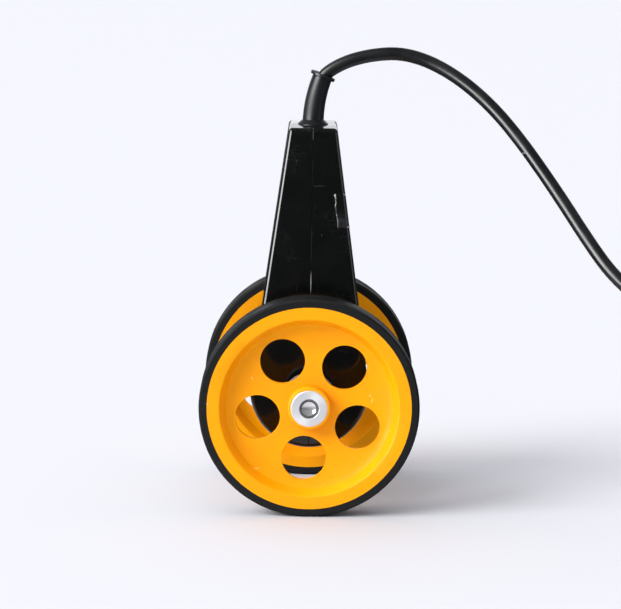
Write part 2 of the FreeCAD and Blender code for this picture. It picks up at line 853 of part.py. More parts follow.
def round_outer_edges(form, s):
    """Rounds every outer edge of a half form that doesn't lie on the seam."""
    names = []
    for index, edge in enumerate(form.Shape.Edges, start=1):
        places = [edge.valueAt(t) for t in (edge.FirstParameter, edge.LastParameter)]
        places.append(edge.CenterOfMass)
        on_seam = all(abs(p.x) < s.slip_clearance.value for p in places)
        on_end = all(abs(abs(p.y) - s.half_depth.value) < s.slip_clearance.value for p in places)
        on_top = all(abs(p.z - s.handle_rise.value) < s.slip_clearance.value for p in places)
        if not on_seam and (on_end or on_top):
            names.append(f"Edge{index}")
    block = form.Tip
    fillet = form.newObject("PartDesign::Fillet", f"{form.Name}_rounds")
    fillet.Base = (block, names)
    fillet.Radius = s.handle_edge_round.value
    bind(fillet, "Radius", s.handle_edge_round)
    form.Tip = fillet
    form.Document.recompute()


def ease_seam_edges(form, s):
    """Chamfers a half form's outer edges on the seam, which leaves a fine groove between the shells."""
    names = []
    for index, edge in enumerate(form.Shape.Edges, start=1):
        places = [edge.valueAt(t) for t in (edge.FirstParameter, edge.LastParameter)]
        places.append(edge.CenterOfMass)
        if all(abs(p.x) < s.slip_clearance.value for p in places):
            names.append(f"Edge{index}")
    rounded = form.Tip
    chamfer = form.newObject("PartDesign::Chamfer", f"{form.Name}_seam_edges")
    chamfer.Base = (rounded, names)
    chamfer.Size = s.seam_edge.value
    bind(chamfer, "Size", s.seam_edge)
    form.Tip = chamfer
    form.Document.recompute()


def seam_frame(s, sketch, ease):
    """A rectangular frame round the hollow on the seam, half as thick as the wall."""
    for wall, room in ((s.shell_wall / 2, ease), (s.shell_wall, 0)):
        end = s.half_depth - wall + room
        low = s.drum_lift - s.drum_radius + wall - room
        high = s.handle_rise - wall + room
        draw_box(sketch, -end, end, low, high)


def seam_lip(form, s):
    """The left shell's lip, which reaches over the seam."""
    sketch = sketch_on(form, "YZ_Plane")
    seam_frame(s, sketch, -s.seam_lip_clearance)
    pad(form, sketch, s.seam_lip_height)


def seam_rebate(form, s):
    """The right shell's rebate, which takes the lip."""
    sketch = sketch_on(form, "YZ_Plane")
    seam_frame(s, sketch, 0)
    pocket(form, sketch, s.seam_lip_height + s.seam_lip_clearance, backwards=True)


def left_shell(doc, s):
    """The left shell: its bosses have wells for the screw heads."""
    side = -1
    form = shell_form(doc, s, "left", side)
    well = s.shell_screw_head_diameter / 2 + s.shell_screw_clearance
    sketch = sketch_on(form, "YZ_Plane", -s.shell_screw_seat)
    for away, up in screw_places(s):
        draw_circle(sketch, away, up, well)
    pocket(form, sketch)
    sketch = sketch_on(form, "YZ_Plane")
    for away, up in screw_places(s):
        draw_circle(sketch, away, up, s.shell_screw_diameter / 2 + s.shell_screw_clearance)
    pocket(form, sketch, s.shell_screw_seat + s.overrun)
    core = shell_core(doc, s, "left", side, well + s.shell_boss_wall)
    return put(cut(doc, "left_shell", form, core), z=s.axle_height)


def right_shell(doc, s):
    """The right shell: it carries the board, the cable's clamp and the blind holes for the screws."""
    side = 1
    form = shell_form(doc, s, "right", side)
    bite = s.shell_screw_length - s.shell_screw_seat + s.overrun
    cut_blind_holes(form, 0, screw_places(s), s.shell_screw_diameter / 2 + s.screw_thread_clearance, bite)
    hole = s.board_screw_diameter / 2 + s.screw_thread_clearance
    bite = s.board_screw_length - s.board_thickness + s.overrun / 2
    cut_blind_holes(form, s.board_back, board_screw_places(s), hole, bite)
    bite = s.clamp_screw_length - s.clamp_rise + s.overrun
    cut_blind_holes(form, s.clamp_split, clamp_screw_places(s), hole, bite)
    core = shell_core(doc, s, "right", side, s.shell_screw_diameter / 2 + s.shell_boss_wall)
    sketch = sketch_on(core, "YZ_Plane", s.board_back)
    for away, up in board_screw_places(s):
        draw_circle(sketch, away, up, s.board_screw_diameter / 2 + s.board_boss_wall)
    pocket(core, sketch, s.drum_radius, backwards=True)
    sketch = sketch_on(core, "YZ_Plane", s.clamp_split)
    half = s.clamp_width / 2
    low, high = s.clamp_middle - s.clamp_height / 2, s.clamp_middle + s.clamp_height / 2
    draw_box(sketch, -half, half, low, high)
    pocket(core, sketch, s.drum_radius, backwards=True)
    return put(cut(doc, "right_shell", form, core), z=s.axle_height)


def cut_blind_holes(form, depth, places, radius, bite):
    """Round blind holes into a right-hand form, from a plane at a depth right of the seam."""
    sketch = sketch_on(form, "YZ_Plane", depth if isinstance(depth, Size) else None)
    for away, up in places:
        draw_circle(sketch, away, up, radius)
    pocket(form, sketch, bite, backwards=True)


def pan_screw(doc, name, diameter, length, head_diameter, head_height, slot_width, slot_depth):
    """A pan-head screw: its own Z points from the head's seat to the tip."""
    body = turned_body(
        doc,
        name,
        [
            (0, -head_height),
            (head_diameter / 2 - head_height / 2, -head_height),
            (head_diameter / 2, -head_height / 2),
            (head_diameter / 2, 0),
            (diameter / 2, 0),
            (diameter / 2, length - diameter / 4),
            (diameter / 4, length),
            (0, length),
        ],
    )
    sketch = sketch_on(body, "XY_Plane", -head_height)
    draw_box(sketch, -head_diameter / 2, head_diameter / 2, -slot_width / 2, slot_width / 2)
    pocket(body, sketch, slot_depth, backwards=True)
    return body


def shell_screws(doc, s):
    """The screws that draw the shells together, with their heads in the left shell's wells."""
    screws = []
    head = (s.shell_screw_head_diameter, s.shell_screw_head_height)
    sizes = (s.shell_screw_diameter, s.shell_screw_length, *head)
    for index, (away, up) in enumerate(screw_places(s), start=1):
        screw = pan_screw(doc, f"shell_screw_{index}", *sizes, s.screw_slot_width, s.screw_slot_depth)
        screws.append(put(screw, x=-s.shell_screw_seat, y=away, z=s.axle_height + up, rotation=ALONG_X))
    return group(doc, "shell_screws", screws)


# Encoder


def encoder_disc(doc, s):
    """A thin disc with a ring of radial slots near its edge."""
    half = s.disc_thickness / 2
    spigot, edge = s.disc_spigot_diameter / 2, s.disc_diameter / 2
    body = turned_body(doc, "encoder_disc", [(spigot, -half), (edge, -half), (edge, half), (spigot, half)])
    sketch = sketch_on(body, "XY_Plane")
    middle, reach = s.disc_slot_circle / 2, s.disc_slot_length / 2
    draw_box(sketch, -s.disc_slot_width / 2, s.disc_slot_width / 2, middle - reach, middle + reach)
    slot = pocket(body, sketch, s.disc_thickness * 2, symmetric=True)
    polar_pattern(body, slot, s.disc_slot_count)
    return put(body, z=s.axle_height, rotation=OUTWARDS["rear"])


def encoder_collar(doc, s):
    """The collar behind the disc, with the spigot that the disc and its washer sit on."""
    half = s.disc_thickness / 2
    spigot, collar = s.disc_spigot_diameter / 2, s.disc_collar_diameter / 2
    end = half + s.disc_collar_length
    profile = [
        (s.bore_radius, -half - s.disc_washer_thickness),
        (spigot, -half - s.disc_washer_thickness),
        (spigot, half),
        (collar, half),
        (collar, end),
        (s.bore_radius, end),
    ]
    body = turned_body(doc, "encoder_collar", profile)
    sketch = sketch_on(body, "XZ_Plane")
    hole = s.disc_screw_diameter / 2 + s.screw_thread_clearance
    draw_circle(sketch, 0, half + s.disc_collar_length / 2, hole)
    pocket(body, sketch, collar + s.overrun)
    return put(body, z=s.axle_height, rotation=OUTWARDS["rear"])


def encoder_washer(doc, s):
    """The washer pressed on the spigot, which clamps the disc."""
    half = s.disc_thickness / 2
    spigot, edge = s.disc_spigot_diameter / 2, s.disc_washer_diameter / 2
    low = -half - s.disc_washer_thickness
    body = turned_body(doc, "encoder_washer", [(spigot, low), (edge, low), (edge, -half), (spigot, -half)])
    return put(body, z=s.axle_height, rotation=OUTWARDS["rear"])


def encoder_grub_screw(doc, s):
    """The grub screw that holds the collar on the axle."""
    half = s.grub_socket_across / 2
    sizes = (s.disc_screw_diameter, s.disc_screw_length, half * 1.5, half)
    screw = grub_screw(doc, "encoder_grub_screw", *sizes)
    middle = s.disc_thickness / 2 + s.disc_collar_length / 2
    return put(screw, y=middle, z=s.axle_height + s.bore_radius)


# Board and what it carries


def circuit_board(doc, s):
    """The board, upright beside the disc, with a hole at each corner."""
    body = new_body(doc, "circuit_board")
    sketch = sketch_on(body, "YZ_Plane", s.board_face)
    half = s.board_width / 2
    draw_box(sketch, -half, half, s.board_foot, s.board_foot + s.board_height)
    for away, up in board_screw_places(s):
        draw_circle(sketch, away, up, s.board_screw_diameter / 2 + s.board_screw_clearance)
    pad(body, sketch, s.board_thickness)
    return put(body, z=s.axle_height)


def board_screws(doc, s):
    screws = []
    head = (s.board_screw_head_diameter, s.board_screw_head_height)
    sizes = (s.board_screw_diameter, s.board_screw_length, *head)
    for index, (away, up) in enumerate(board_screw_places(s), start=1):
        screw = pan_screw(doc, f"board_screw_{index}", *sizes, s.screw_slot_width, s.screw_slot_depth)
        screws.append(put(screw, x=s.board_face, y=away, z=s.axle_height + up, rotation=ALONG_X))
    return group(doc, "board_screws", screws)


def light_barrier(doc, s):
    """The forked light barrier, whose slot takes the edge of the disc."""
    body = new_body(doc, "light_barrier")
    sketch = sketch_on(body, "XY_Plane", s.barrier_middle - s.barrier_height / 2)
    outer, slot = s.barrier_width / 2, s.barrier_slot_width / 2
    tips = s.board_face - s.barrier_reach
    floor = tips + s.barrier_slot_reach
    corners = [
        (s.board_face, -outer),
        (s.board_face, outer),
        (tips, outer),
        (tips, slot),
        (floor, slot),
        (floor, -slot),
        (tips, -slot),
        (tips, -outer),
    ]
    draw_outline(sketch, corners)
    pad(body, sketch, s.barrier_height)
    return put(body, z=s.axle_height)


def wire_header(doc, s):
    return header_block(doc, s, "wire_header", s.board_face - s.header_reach, s.header_reach)


def wire_plug(doc, s):
    """The small plug on the header, which the conductors run into from above."""
    start = s.board_face - s.header_reach - s.header_plug_reach
    return header_block(doc, s, "wire_plug", start, s.header_plug_reach)


def header_block(doc, s, name, start, reach):
    block = primitive(doc, "Part::Box", name, Length=reach, Width=s.header_width, Height=s.header_height)
    labelled(block, name)
    low = s.axle_height + s.header_middle - s.header_height / 2
    return put(block, x=start, y=-s.header_width / 2, z=low)


def conductors(doc, s):
    """The cable's conductors, from the end of its sheath down to the small plug."""
    wires = []
    plug_x = s.board_face - s.header_reach - s.header_plug_reach / 2
    top = s.axle_height + s.cable_tail_end
    foot = s.axle_height + s.header_middle + s.header_height / 2
    rise = top - foot
    count = int(s.conductor_count.value)
    for index in range(count):
        spread_x, spread_y = 2 * (index % 2) - 1, 2 * (index * 2 // count) - 1
        start = (s.conductor_spread * spread_x, s.conductor_spread * spread_y)
        end_y = s.conductor_pitch * (index - (count - 1) / 2)
        route = [
            point(start[0], start[1], top),
            point(start[0], start[1], top - rise * CONDUCTOR_SHARES[0]),
            point(plug_x, end_y, foot + rise * CONDUCTOR_SHARES[1]),
            point(plug_x, end_y, foot),
        ]
        wires.append(tube(route, s.conductor_diameter.value / 2)[0])
    return shape_feature(doc, "conductors", Part.makeCompound(wires))


# How far down the conductors stay together, and how far up they stand straight, as shares of their drop.
CONDUCTOR_SHARES = (0.3, 0.25)


# Cable, boot and clamp


def bent_tube(doc, s, name, radius, bend):
    """A length of round stock along the boot's bend, from the handle's top towards the right."""
    bent = primitive(doc, "Part::Torus", name, Radius1=s.bend_radius, Radius2=radius, Angle3=bend)
    turn = axes((-1, 0, 0), (0, 0, 1), (0, 1, 0))
    return put(bent, x=s.bend_radius, z=s.axle_height + s.handle_rise, rotation=turn)


def tapered_boot(doc, s):
    """The boot's body along its bend, thicker at the foot than at the mouth."""
    top = s.axle_height + s.handle_rise
    half, whole = s.boot_bend / 2, s.boot_bend
    places = [point(0, 0, top)]
    for turn in (half, whole):
        across = s.bend_radius - s.bend_radius * cosine(turn)
        places.append(point(across, 0, top + s.bend_radius * sine(turn)))
    low = Part.Circle(places[0], Vector(0, 0, 1), s.boot_low_diameter.value / 2)
    leaving = point(sine(whole), 0, cosine(whole))
    high = Part.Circle(places[2], leaving, s.boot_high_diameter.value / 2)
    path = Part.Wire([Part.Arc(*places).toShape()])
    rings = [Part.Wire([ring.toShape()]) for ring in (low, high)]
    return shape_feature(doc, "boot_body", path.makePipeShell(rings, True, False))


def cable_release(s):
    """The point inside the boot from which the cable runs free, and its direction there."""
    across = s.bend_radius - s.bend_radius * cosine(s.release_bend)
    up = s.axle_height + s.handle_rise + s.bend_radius * sine(s.release_bend)
    return point(across, 0, up), point(sine(s.release_bend), 0, cosine(s.release_bend))


def cable_boot(doc, s):
    """The rubber boot: a lock inside the top wall, a flared foot, a bent body and a flange at its mouth."""
    top = s.axle_height + s.handle_rise
    lock_top = top - s.shell_wall
    lock_low = lock_top - s.boot_lock_thickness
    neck = primitive(doc, "Part::Cylinder", "boot_neck", Radius=s.boot_diameter / 2, Height=s.shell_wall)
    put(neck, z=lock_top)
    lock = primitive(
        doc, "Part::Cylinder", "boot_lock", Radius=s.boot_lock_diameter / 2, Height=s.boot_lock_thickness
    )
    put(lock, z=lock_low)
    foot_radius = s.boot_foot_diameter / 2
    rim = primitive(doc, "Part::Cylinder", "boot_rim", Radius=foot_radius, Height=s.boot_foot_rim)
    put(rim, z=top)
    foot = primitive(
        doc,
        "Part::Cone",
        "boot_foot",
        Radius1=foot_radius,
        Radius2=s.boot_diameter / 2 - s.boot_blend,
        Height=s.boot_foot_height - s.boot_foot_rim,
    )
    put(foot, z=top + s.boot_foot_rim)
    body = tapered_boot(doc, s)
    edge, high, ease = s.boot_flange_diameter / 2, s.boot_flange_thickness, s.boot_flange_round
    ring = [(0, 0), (edge - ease, 0), (edge, ease), (edge, high - ease), (edge - ease, high), (0, high)]
    flange = turned_body(doc, "boot_flange", ring, {1: (ease, 1), 3: (ease, 1)})
    lean_x, lean_z = sine(s.boot_bend), cosine(s.boot_bend)
    mouth_x = s.bend_radius - s.bend_radius * lean_z
    mouth_z = top + s.bend_radius * lean_x
    lean = FreeCAD.Rotation(Vector(0, 1, 0), s.boot_bend.value)
    put(
        flange,
        x=mouth_x - s.boot_flange_thickness * lean_x,
        z=mouth_z - s.boot_flange_thickness * lean_z,
        rotation=lean,
    )
    solid = fuse(doc, "boot_solid", [lock, neck, rim, foot, body, flange])
    throat = s.cable_way_radius - s.boot_blend
    flare = (s.boot_funnel_radius - throat) / s.boot_funnel_depth
    funnel = primitive(
        doc,
        "Part::Cone",
        "boot_funnel",
        Radius1=throat,
        Radius2=s.boot_funnel_radius + flare * s.overrun,
        Height=s.boot_funnel_depth + s.overrun,
    )
    put(
        funnel,
        x=mouth_x - s.boot_funnel_depth * lean_x,
        z=mouth_z - s.boot_funnel_depth * lean_z,
        rotation=lean,
    )
    way = primitive(
        doc,
        "Part::Cylinder",
        "boot_way",
        Radius=s.cable_way_radius,
        Height=s.shell_wall + s.boot_lock_thickness + s.overrun,
    )
    put(way, z=lock_low - s.overrun)
    bend = bent_tube(doc, s, "boot_bend_bore", s.cable_way_radius, s.boot_bend)
    bore = fuse(doc, "boot_bore", [way, bend, funnel])
    return cut(doc, "cable_boot", solid, bore)


def inner_cable(doc, s):
    """The cable's held stretch: from the conductors up through the clamp and most of the boot."""
    straight = primitive(
        doc,
        "Part::Cylinder",
        "inner_cable_run",
        Radius=s.cable_radius,
        Height=s.handle_rise - s.cable_tail_end,
    )
    put(straight, z=s.axle_height + s.cable_tail_end)
    bend = bent_tube(doc, s, "inner_cable_bend", s.cable_radius, s.release_bend)
    return fuse(doc, "inner_cable", [straight, bend])


def clamp_screw_places(s):
    return [(s.clamp_screw_spread * sense, s.clamp_middle) for sense in (-1, 1)]


def cable_clamp(doc, s):
    """The saddle that presses the cable on to the right shell's block."""
    body = new_body(doc, "cable_clamp")
    sketch = sketch_on(body, "XY_Plane", s.clamp_middle - s.clamp_height / 2)
    half, groove = s.clamp_width / 2, s.cable_way_radius
    lip = root(groove * groove - s.clamp_split * s.clamp_split)
    back = s.clamp_split - s.clamp_rise
    corners = [
        (s.clamp_split, lip),
        (s.clamp_split, half),
        (back, half),
        (back, -half),
        (s.clamp_split, -half),
        (s.clamp_split, -lip),
        (-groove, 0),
    ]
    draw_outline(sketch, corners, {5: (groove, -1), 6: (groove, -1)})
    pad(body, sketch, s.clamp_height)
    sketch = sketch_on(body, "YZ_Plane")
    for away, up in clamp_screw_places(s):
        draw_circle(sketch, away, up, s.board_screw_diameter / 2 + s.board_screw_clearance)
    pocket(body, sketch, s.clamp_rise * 2, symmetric=True)
    return put(body, z=s.axle_height)


def clamp_screws(doc, s):
    screws = []
    head = (s.board_screw_head_diameter, s.board_screw_head_height)
    sizes = (s.board_screw_diameter, s.clamp_screw_length, *head)
    for index, (away, up) in enumerate(clamp_screw_places(s), start=1):
        screw = pan_screw(doc, f"clamp_screw_{index}", *sizes, s.screw_slot_width, s.screw_slot_depth)
        place = s.clamp_split - s.clamp_rise
        screws.append(put(screw, x=place, y=away, z=s.axle_height + up, rotation=ALONG_X))
    return group(doc, "clamp_screws", screws)


# Free cable and coil


def point(x, y, z):
    return Vector(number(x), number(y), number(z))


def shape_feature(doc, name, shape):
    thing = doc.addObject("Part::Feature", name)
    thing.Shape = shape
    thing.Placement = FreeCAD.Placement()
    return labelled(thing, name)


def tube(points, radius):
    """A round tube along straight runs joined by tangent arcs, with its length and the radii of its arcs."""
    edges, radii = [], []
    last = points[0]
    for before, corner, after in zip(points, points[1:], points[2:]):
        into, out = corner - before, after - corner
        step = ARC_SHARE * min(into.Length, out.Length)
        into.normalize()
        out.normalize()
        half_turn = into.getAngle(out) / 2
        bend = step / math.tan(half_turn)
        start, end = corner - into * step, corner + out * step
        towards = (out - into).normalize()
        middle = corner + towards * (bend / math.cos(half_turn) - bend)
        edges.append(Part.LineSegment(last, start).toShape())
        edges.append(Part.Arc(start, middle, end).toShape())
        radii.append(bend)
        last = end
    edges.append(Part.LineSegment(last, points[-1]).toShape())
    return swept(edges, radius), sum(e.Length for e in edges), radii


def swept(edges, radius):
    """A round solid along a chain of edges that are tangent to each other."""
    path = Part.Wire(edges)
    direction = edges[0].tangentAt(edges[0].FirstParameter)
    circle = Part.Circle(edges[0].valueAt(edges[0].FirstParameter), direction, radius)
    return path.makePipeShell([Part.Wire([circle.toShape()])], True, False)


def report_tube(name, solid, length, radius):
    share = solid.Volume / (math.pi * radius**2 * length)
    print(f"{name}: length {length:.1f}, volume over section times length {share:.4f}")


def coil_start(s):
    """The point on the floor where the coil begins, one cable diameter before its first turn."""
    return point(
        s.coil_middle_x - s.cable_diameter,
        s.coil_middle_y - s.coil_outer_radius,
        s.cable_radius,
    )


def cord(doc, s):
    """The free cable: out of the boot, over and down to the floor, to the start of the coil."""
    start, direction = cable_release(s)
    first = start + direction * s.cable_first_run.value
    end = coil_start(s)
    before_end = end - Vector(s.cable_last_run.value, 0, 0)
    route = [start, first, *[Vector(*place) for place in CABLE_ROUTE], before_end, end]
    runs = [(b - a).Length for a, b in zip(route, route[1:])]
    solid, length, radii = tube(route, s.cable_radius.value)
    print("cord runs", " ".join(f"{run:.1f}" for run in runs))
    print("cord radii", " ".join(f"{bend:.0f}" for bend in radii))
    report_tube("cord", solid, length, s.cable_radius.value)
    return shape_feature(doc, "cord", solid)


def coil_place(s, turn):
    """The coil's centreline and its direction after so many turns: in along the floor, up a layer, out."""
    layer = s.coil_layer_turns.value
    pitch = s.coil_pitch.value
    low = s.cable_radius.value
    climb_share = min(max((turn - layer) / CLIMB_TURNS, 0), 1)
    ease = climb_share**2 * (3 - 2 * climb_share)
    slope = 6 * climb_share * (1 - climb_share) * pitch / CLIMB_TURNS
    reversal = layer + CLIMB_TURNS / 2
    growth = pitch * ((turn > reversal) - (turn < reversal))
    radius = s.coil_outer_radius.value - pitch * (reversal - abs(turn - reversal))
    angle = 2 * math.pi * turn - math.pi / 2
    outward = Vector(math.cos(angle), math.sin(angle), 0)
    along = Vector(-math.sin(angle), math.cos(angle), 0)
    middle = Vector(s.coil_middle_x.value, s.coil_middle_y.value, low + pitch * ease)
    direction = outward * growth + along * (2 * math.pi * radius) + Vector(0, 0, slope)
    return middle + outward * radius, direction.normalize()


# The climb from the first layer to the second takes this part of a turn, and each arc pair a quarter.
CLIMB_TURNS = 0.5
ARC_PAIR_TURNS = 0.25


def arc_pair(start, leaving, end, arriving):
    """Two tangent arcs from a point and direction to another point and direction."""
    chord = end - start
    both = leaving + arriving
    spread = 2 * (1 - leaving.dot(arriving))
    across = chord.dot(both)
    reach = (math.sqrt(across**2 + spread * chord.dot(chord)) - across) / spread
    joint = (start + end + (leaving - arriving) * reach) * 0.5
    return [
        Part.Arc(start, arc_middle(start, leaving, joint), joint).toShape(),
        Part.Arc(joint, arc_middle(end, -arriving, joint), end).toShape(),
    ]


def arc_middle(start, direction, end):
    """The middle of the arc that leaves a point in a direction and reaches another point."""
    chord = end - start
    half = chord.getAngle(direction)
    sagitta = chord.Length / 2 * math.tan(half / 2)
    towards = (direction - chord * (direction.dot(chord) / chord.dot(chord))).normalize()
    return (start + end) * 0.5 + towards * sagitta


def coil_edges(s):
    """The coil's path: a straight start, quarter turns of two arcs each, and a straight end to the plug."""
    turns = s.coil_layer_turns.value * 2 + CLIMB_TURNS
    steps = round(turns / ARC_PAIR_TURNS)
    places = [coil_place(s, turns * step / steps) for step in range(steps + 1)]
    places[0] = (places[0][0], Vector(1, 0, 0))
    places[-1] = (places[-1][0], Vector(-1, 0, 0))
    edges = [Part.LineSegment(coil_start(s), places[0][0]).toShape()]
    for (start, leaving), (end, arriving) in zip(places, places[1:]):
        edges += arc_pair(start, leaving, end, arriving)
    last = places[-1][0]
    edges.append(Part.LineSegment(last, last - Vector(s.coil_lead_out.value, 0, 0)).toShape())
    return edges


def least_self_gap(edges, diameter, spacing):
    """The least gap between stretches of a wound tube, measured on points of its centreline."""
    points, reached = [], 0.0
    for edge in edges:
        count = max(2, round(edge.Length / spacing))
        line = edge.discretize(count + 1)
        for index, place in enumerate(line[:-1]):
            points.append((place, reached + edge.Length * index / count))
        reached += edge.Length
    least = math.inf
    for index, (place, along) in enumerate(points):
        for other, far in points[index + 1 :]:
            if far - along > diameter * math.pi:
                least = min(least, place.distanceToPoint(other))
    return least - diameter


def cord_coil(doc, s):
    """The stored length: two layers of turns lying on the floor, and a lead-out to the plug."""
    edges = coil_edges(s)
    radius = s.cable_radius.value
    solid = swept(edges, radius)
    report_tube("coil", solid, sum(e.Length for e in edges), radius)
    print(f"coil: least self gap {least_self_gap(edges, radius * 2, radius / 2):.2f}")
    return shape_feature(doc, "cord_coil", solid)


# Plug


def plug_frame(s, piece, start=0):
    """Puts a piece whose own Z is the plug's axis where the coil's lead-out ends."""
    x = s.coil_middle_x - s.coil_lead_out - start
    y = s.coil_middle_y + s.coil_outer_radius
    return put(piece, x=x, y=y, z=s.plug_height, rotation=AGAINST_X)


def plug_grip(doc, s):
    """The moulded grip, slimmer at the cable and grooved for the fingers."""
    neck, grip = s.plug_grip_neck_diameter / 2, s.plug_grip_diameter / 2
    length = s.plug_grip_length
    groove = s.plug_grip_groove
    profile = [(0, 0), (neck, 0), (grip, length / 2)]
    for count in range(2):
        low = length / 2 + groove * (3 * count + 2)
        profile += [(grip, low), (grip - groove, low), (grip - groove, low + groove), (grip, low + groove)]
    profile += [(grip, length), (0, length)]
    return plug_frame(s, turned_body(doc, "plug_grip", profile))


def plug_sleeve(doc, s):
    """The metal sleeve with its collar against the grip."""
    outer = s.plug_sleeve_diameter / 2
    inner = outer - s.plug_sleeve_wall
    collar = s.plug_collar_diameter / 2
    profile = [
        (inner, 0),
        (collar, 0),
        (collar, s.plug_collar_length),
        (outer, s.plug_collar_length),
        (outer, s.plug_sleeve_length),
        (inner, s.plug_sleeve_length),
    ]
    return plug_frame(s, turned_body(doc, "plug_sleeve", profile), s.plug_grip_length)


def plug_insert(doc, s):
    """The insulating insert in the sleeve, with a hole for each contact."""
    radius = s.plug_sleeve_diameter / 2 - s.plug_sleeve_wall
    end = s.plug_sleeve_length - s.plug_insert_recess
    body = turned_body(doc, "plug_insert", [(0, 0), (radius, 0), (radius, end), (0, end)])
    sketch = sketch_on(body, "XY_Plane", end)
    draw_circle(sketch, 0, s.plug_contact_circle / 2, s.plug_contact_diameter / 2)
    hole = pocket(body, sketch, s.plug_contact_length)
    polar_pattern(body, hole, s.plug_contact_count)
    return plug_frame(s, body, s.plug_grip_length)


def plug_contacts(doc, s):
    """The contact tubes in the insert's holes."""
    contacts = []
    front = s.plug_grip_length + s.plug_sleeve_length - s.plug_insert_recess
    for index in range(int(s.plug_contact_count.value)):
        name = f"plug_contact_{index + 1}"
        outer = primitive(
            doc,
            "Part::Cylinder",
            f"{name}_outer",
            Radius=s.plug_contact_diameter / 2,
            Height=s.plug_contact_length,
        )
        bore = primitive(
            doc,
            "Part::Cylinder",
            f"{name}_bore",
            Radius=s.plug_contact_bore / 2,
            Height=s.plug_contact_length - s.overrun,
        )
        put(bore, z=s.overrun)
        contact = cut(doc, name, outer, bore)
        turn = 360 / s.plug_contact_count * index
        reach = s.plug_contact_circle / 2
        put(
            contact,
            x=s.coil_middle_x - s.coil_lead_out - front + s.plug_contact_length,
            y=s.coil_middle_y + s.coil_outer_radius + reach * cosine(turn),
            z=s.plug_height + reach * sine(turn),
            rotation=AGAINST_X,
        )
        contacts.append(contact)
    return group(doc, "plug_contacts", contacts)


def build(doc, s):
    """All pieces, in the order in which they would be put together."""
    pieces = [axle(doc, s)]
    for end in ("front", "rear"):
        for make in (bearing_inner_ring, bearing_balls, bearing_outer_ring, bearing_shields):
            pieces.append(make(doc, s, end))
    for make in (encoder_disc, encoder_collar, encoder_washer, encoder_grub_screw, retaining_rings):
        pieces.append(make(doc, s))
    for make in (right_shell, circuit_board, board_screws, light_barrier, wire_header, wire_plug):
        pieces.append(make(doc, s))
    for make in (conductors, inner_cable, cable_clamp, clamp_screws, cable_boot, left_shell, shell_screws):
        pieces.append(make(doc, s))
    for end in ("front", "rear"):
        for make in (wheel, tyre, hub):
            pieces.append(make(doc, s, end))
    pieces.append(hub_grub_screws(doc, s))
    for make in (cord, cord_coil, plug_grip, plug_sleeve, plug_insert, plug_contacts):
        pieces.append(make(doc, s))
    return pieces


def check_document(doc, pieces):
    """Stops where a feature failed or a piece isn't sound."""
    doc.recompute()
    for thing in doc.Objects:
        if {"Invalid", "Error"} & set(thing.State):
            raise ValueError(f"{thing.Label} failed: {thing.State}")
    for piece in pieces:
        if piece.Shape.isNull() or not piece.Shape.isValid():
            raise ValueError(f"{piece.Label} has no sound shape")


def main():
    doc = FreeCAD.newDocument("cable_length_counter")
    sheet = doc.addObject("Spreadsheet::Sheet", "dims")
    sizes = Sizes(sheet)
    doc.recompute()
    pieces = build(doc, sizes)
    check_document(doc, pieces)
    os.makedirs("parts", exist_ok=True)
    for piece in pieces:
        piece.Shape.exportStep(os.path.join("parts", f"{piece.Label}.step"))
        print(f"{piece.Label}: {len(piece.Shape.Solids)} solids, {piece.Shape.Volume:.1f} cubic mm")


main()
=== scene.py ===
"""The cable length counter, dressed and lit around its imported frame.

Every length is in metres and every place is in the frame's own axes: X to the right, Y along the axle away
from the front wheel, Z up, with the origin on the floor under the middle of the axle.
"""

import json
import logging
import math
from dataclasses import dataclass
from enum import Enum

import bmesh
import bpy
from bmesh.types import BMesh, BMVert
from bpy.types import Material, Node, NodeSocket, NodeTree, Object
from mathutils import Matrix, Vector


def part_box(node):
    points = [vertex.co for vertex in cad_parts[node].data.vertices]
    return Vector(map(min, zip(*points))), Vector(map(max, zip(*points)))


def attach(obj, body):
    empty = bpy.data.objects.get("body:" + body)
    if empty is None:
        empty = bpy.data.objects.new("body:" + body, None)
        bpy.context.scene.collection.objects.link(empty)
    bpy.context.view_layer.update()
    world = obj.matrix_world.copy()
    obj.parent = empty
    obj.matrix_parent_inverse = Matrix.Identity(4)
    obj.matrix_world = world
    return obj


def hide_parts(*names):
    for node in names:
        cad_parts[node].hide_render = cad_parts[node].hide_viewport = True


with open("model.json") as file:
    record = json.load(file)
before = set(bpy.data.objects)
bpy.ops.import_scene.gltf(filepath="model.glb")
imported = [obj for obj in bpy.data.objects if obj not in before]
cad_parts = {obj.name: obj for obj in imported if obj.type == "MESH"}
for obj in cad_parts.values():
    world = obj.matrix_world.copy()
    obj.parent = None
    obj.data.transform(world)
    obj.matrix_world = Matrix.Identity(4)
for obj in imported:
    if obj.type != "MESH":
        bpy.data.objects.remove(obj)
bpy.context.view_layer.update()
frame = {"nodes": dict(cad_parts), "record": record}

LOG = logging.getLogger("cable_length_counter")
MM = 0.001
HOUSING = "housing"

Colour = tuple[float, float, float]
Place = tuple[float, float, float]
Range = tuple[float, float]

# Where nearly all the values of a noise texture lie, and those of the lathe's rings.
NOISE_RANGE: Range = (0.3, 0.7)
RING_RANGE: Range = (0.2, 0.8)

DUST_COLOUR: Colour = (0.42, 0.41, 0.40)
DUST_ROUGHNESS = 0.5
SCUFF_ROUGHNESS = 0.35
METAL_GRAIN = 0.6 * MM
RING_DEPTH = 0.004 * MM
# A turned part's dark ring: its colour and its soft edge. On the hub the ring is painted shade in the gap
# round the axle.
DARK_RING_COLOUR: Colour = (0.045, 0.045, 0.048)
DARK_RING_BLUR = 0.04 * MM
DIMPLE_SLOPE = 0.5

# How far red, green and blue light pass under a plastic surface, as shares of a depth.
BLEED_REACH = (1.0, 0.45, 0.1)
BLEED_DEPTH = 2 * MM

# The distance within which points are one, and the angle in degrees past which an edge is sharp.
WELD_DISTANCE = 0.002 * MM
SHARP_EDGE = 28.0


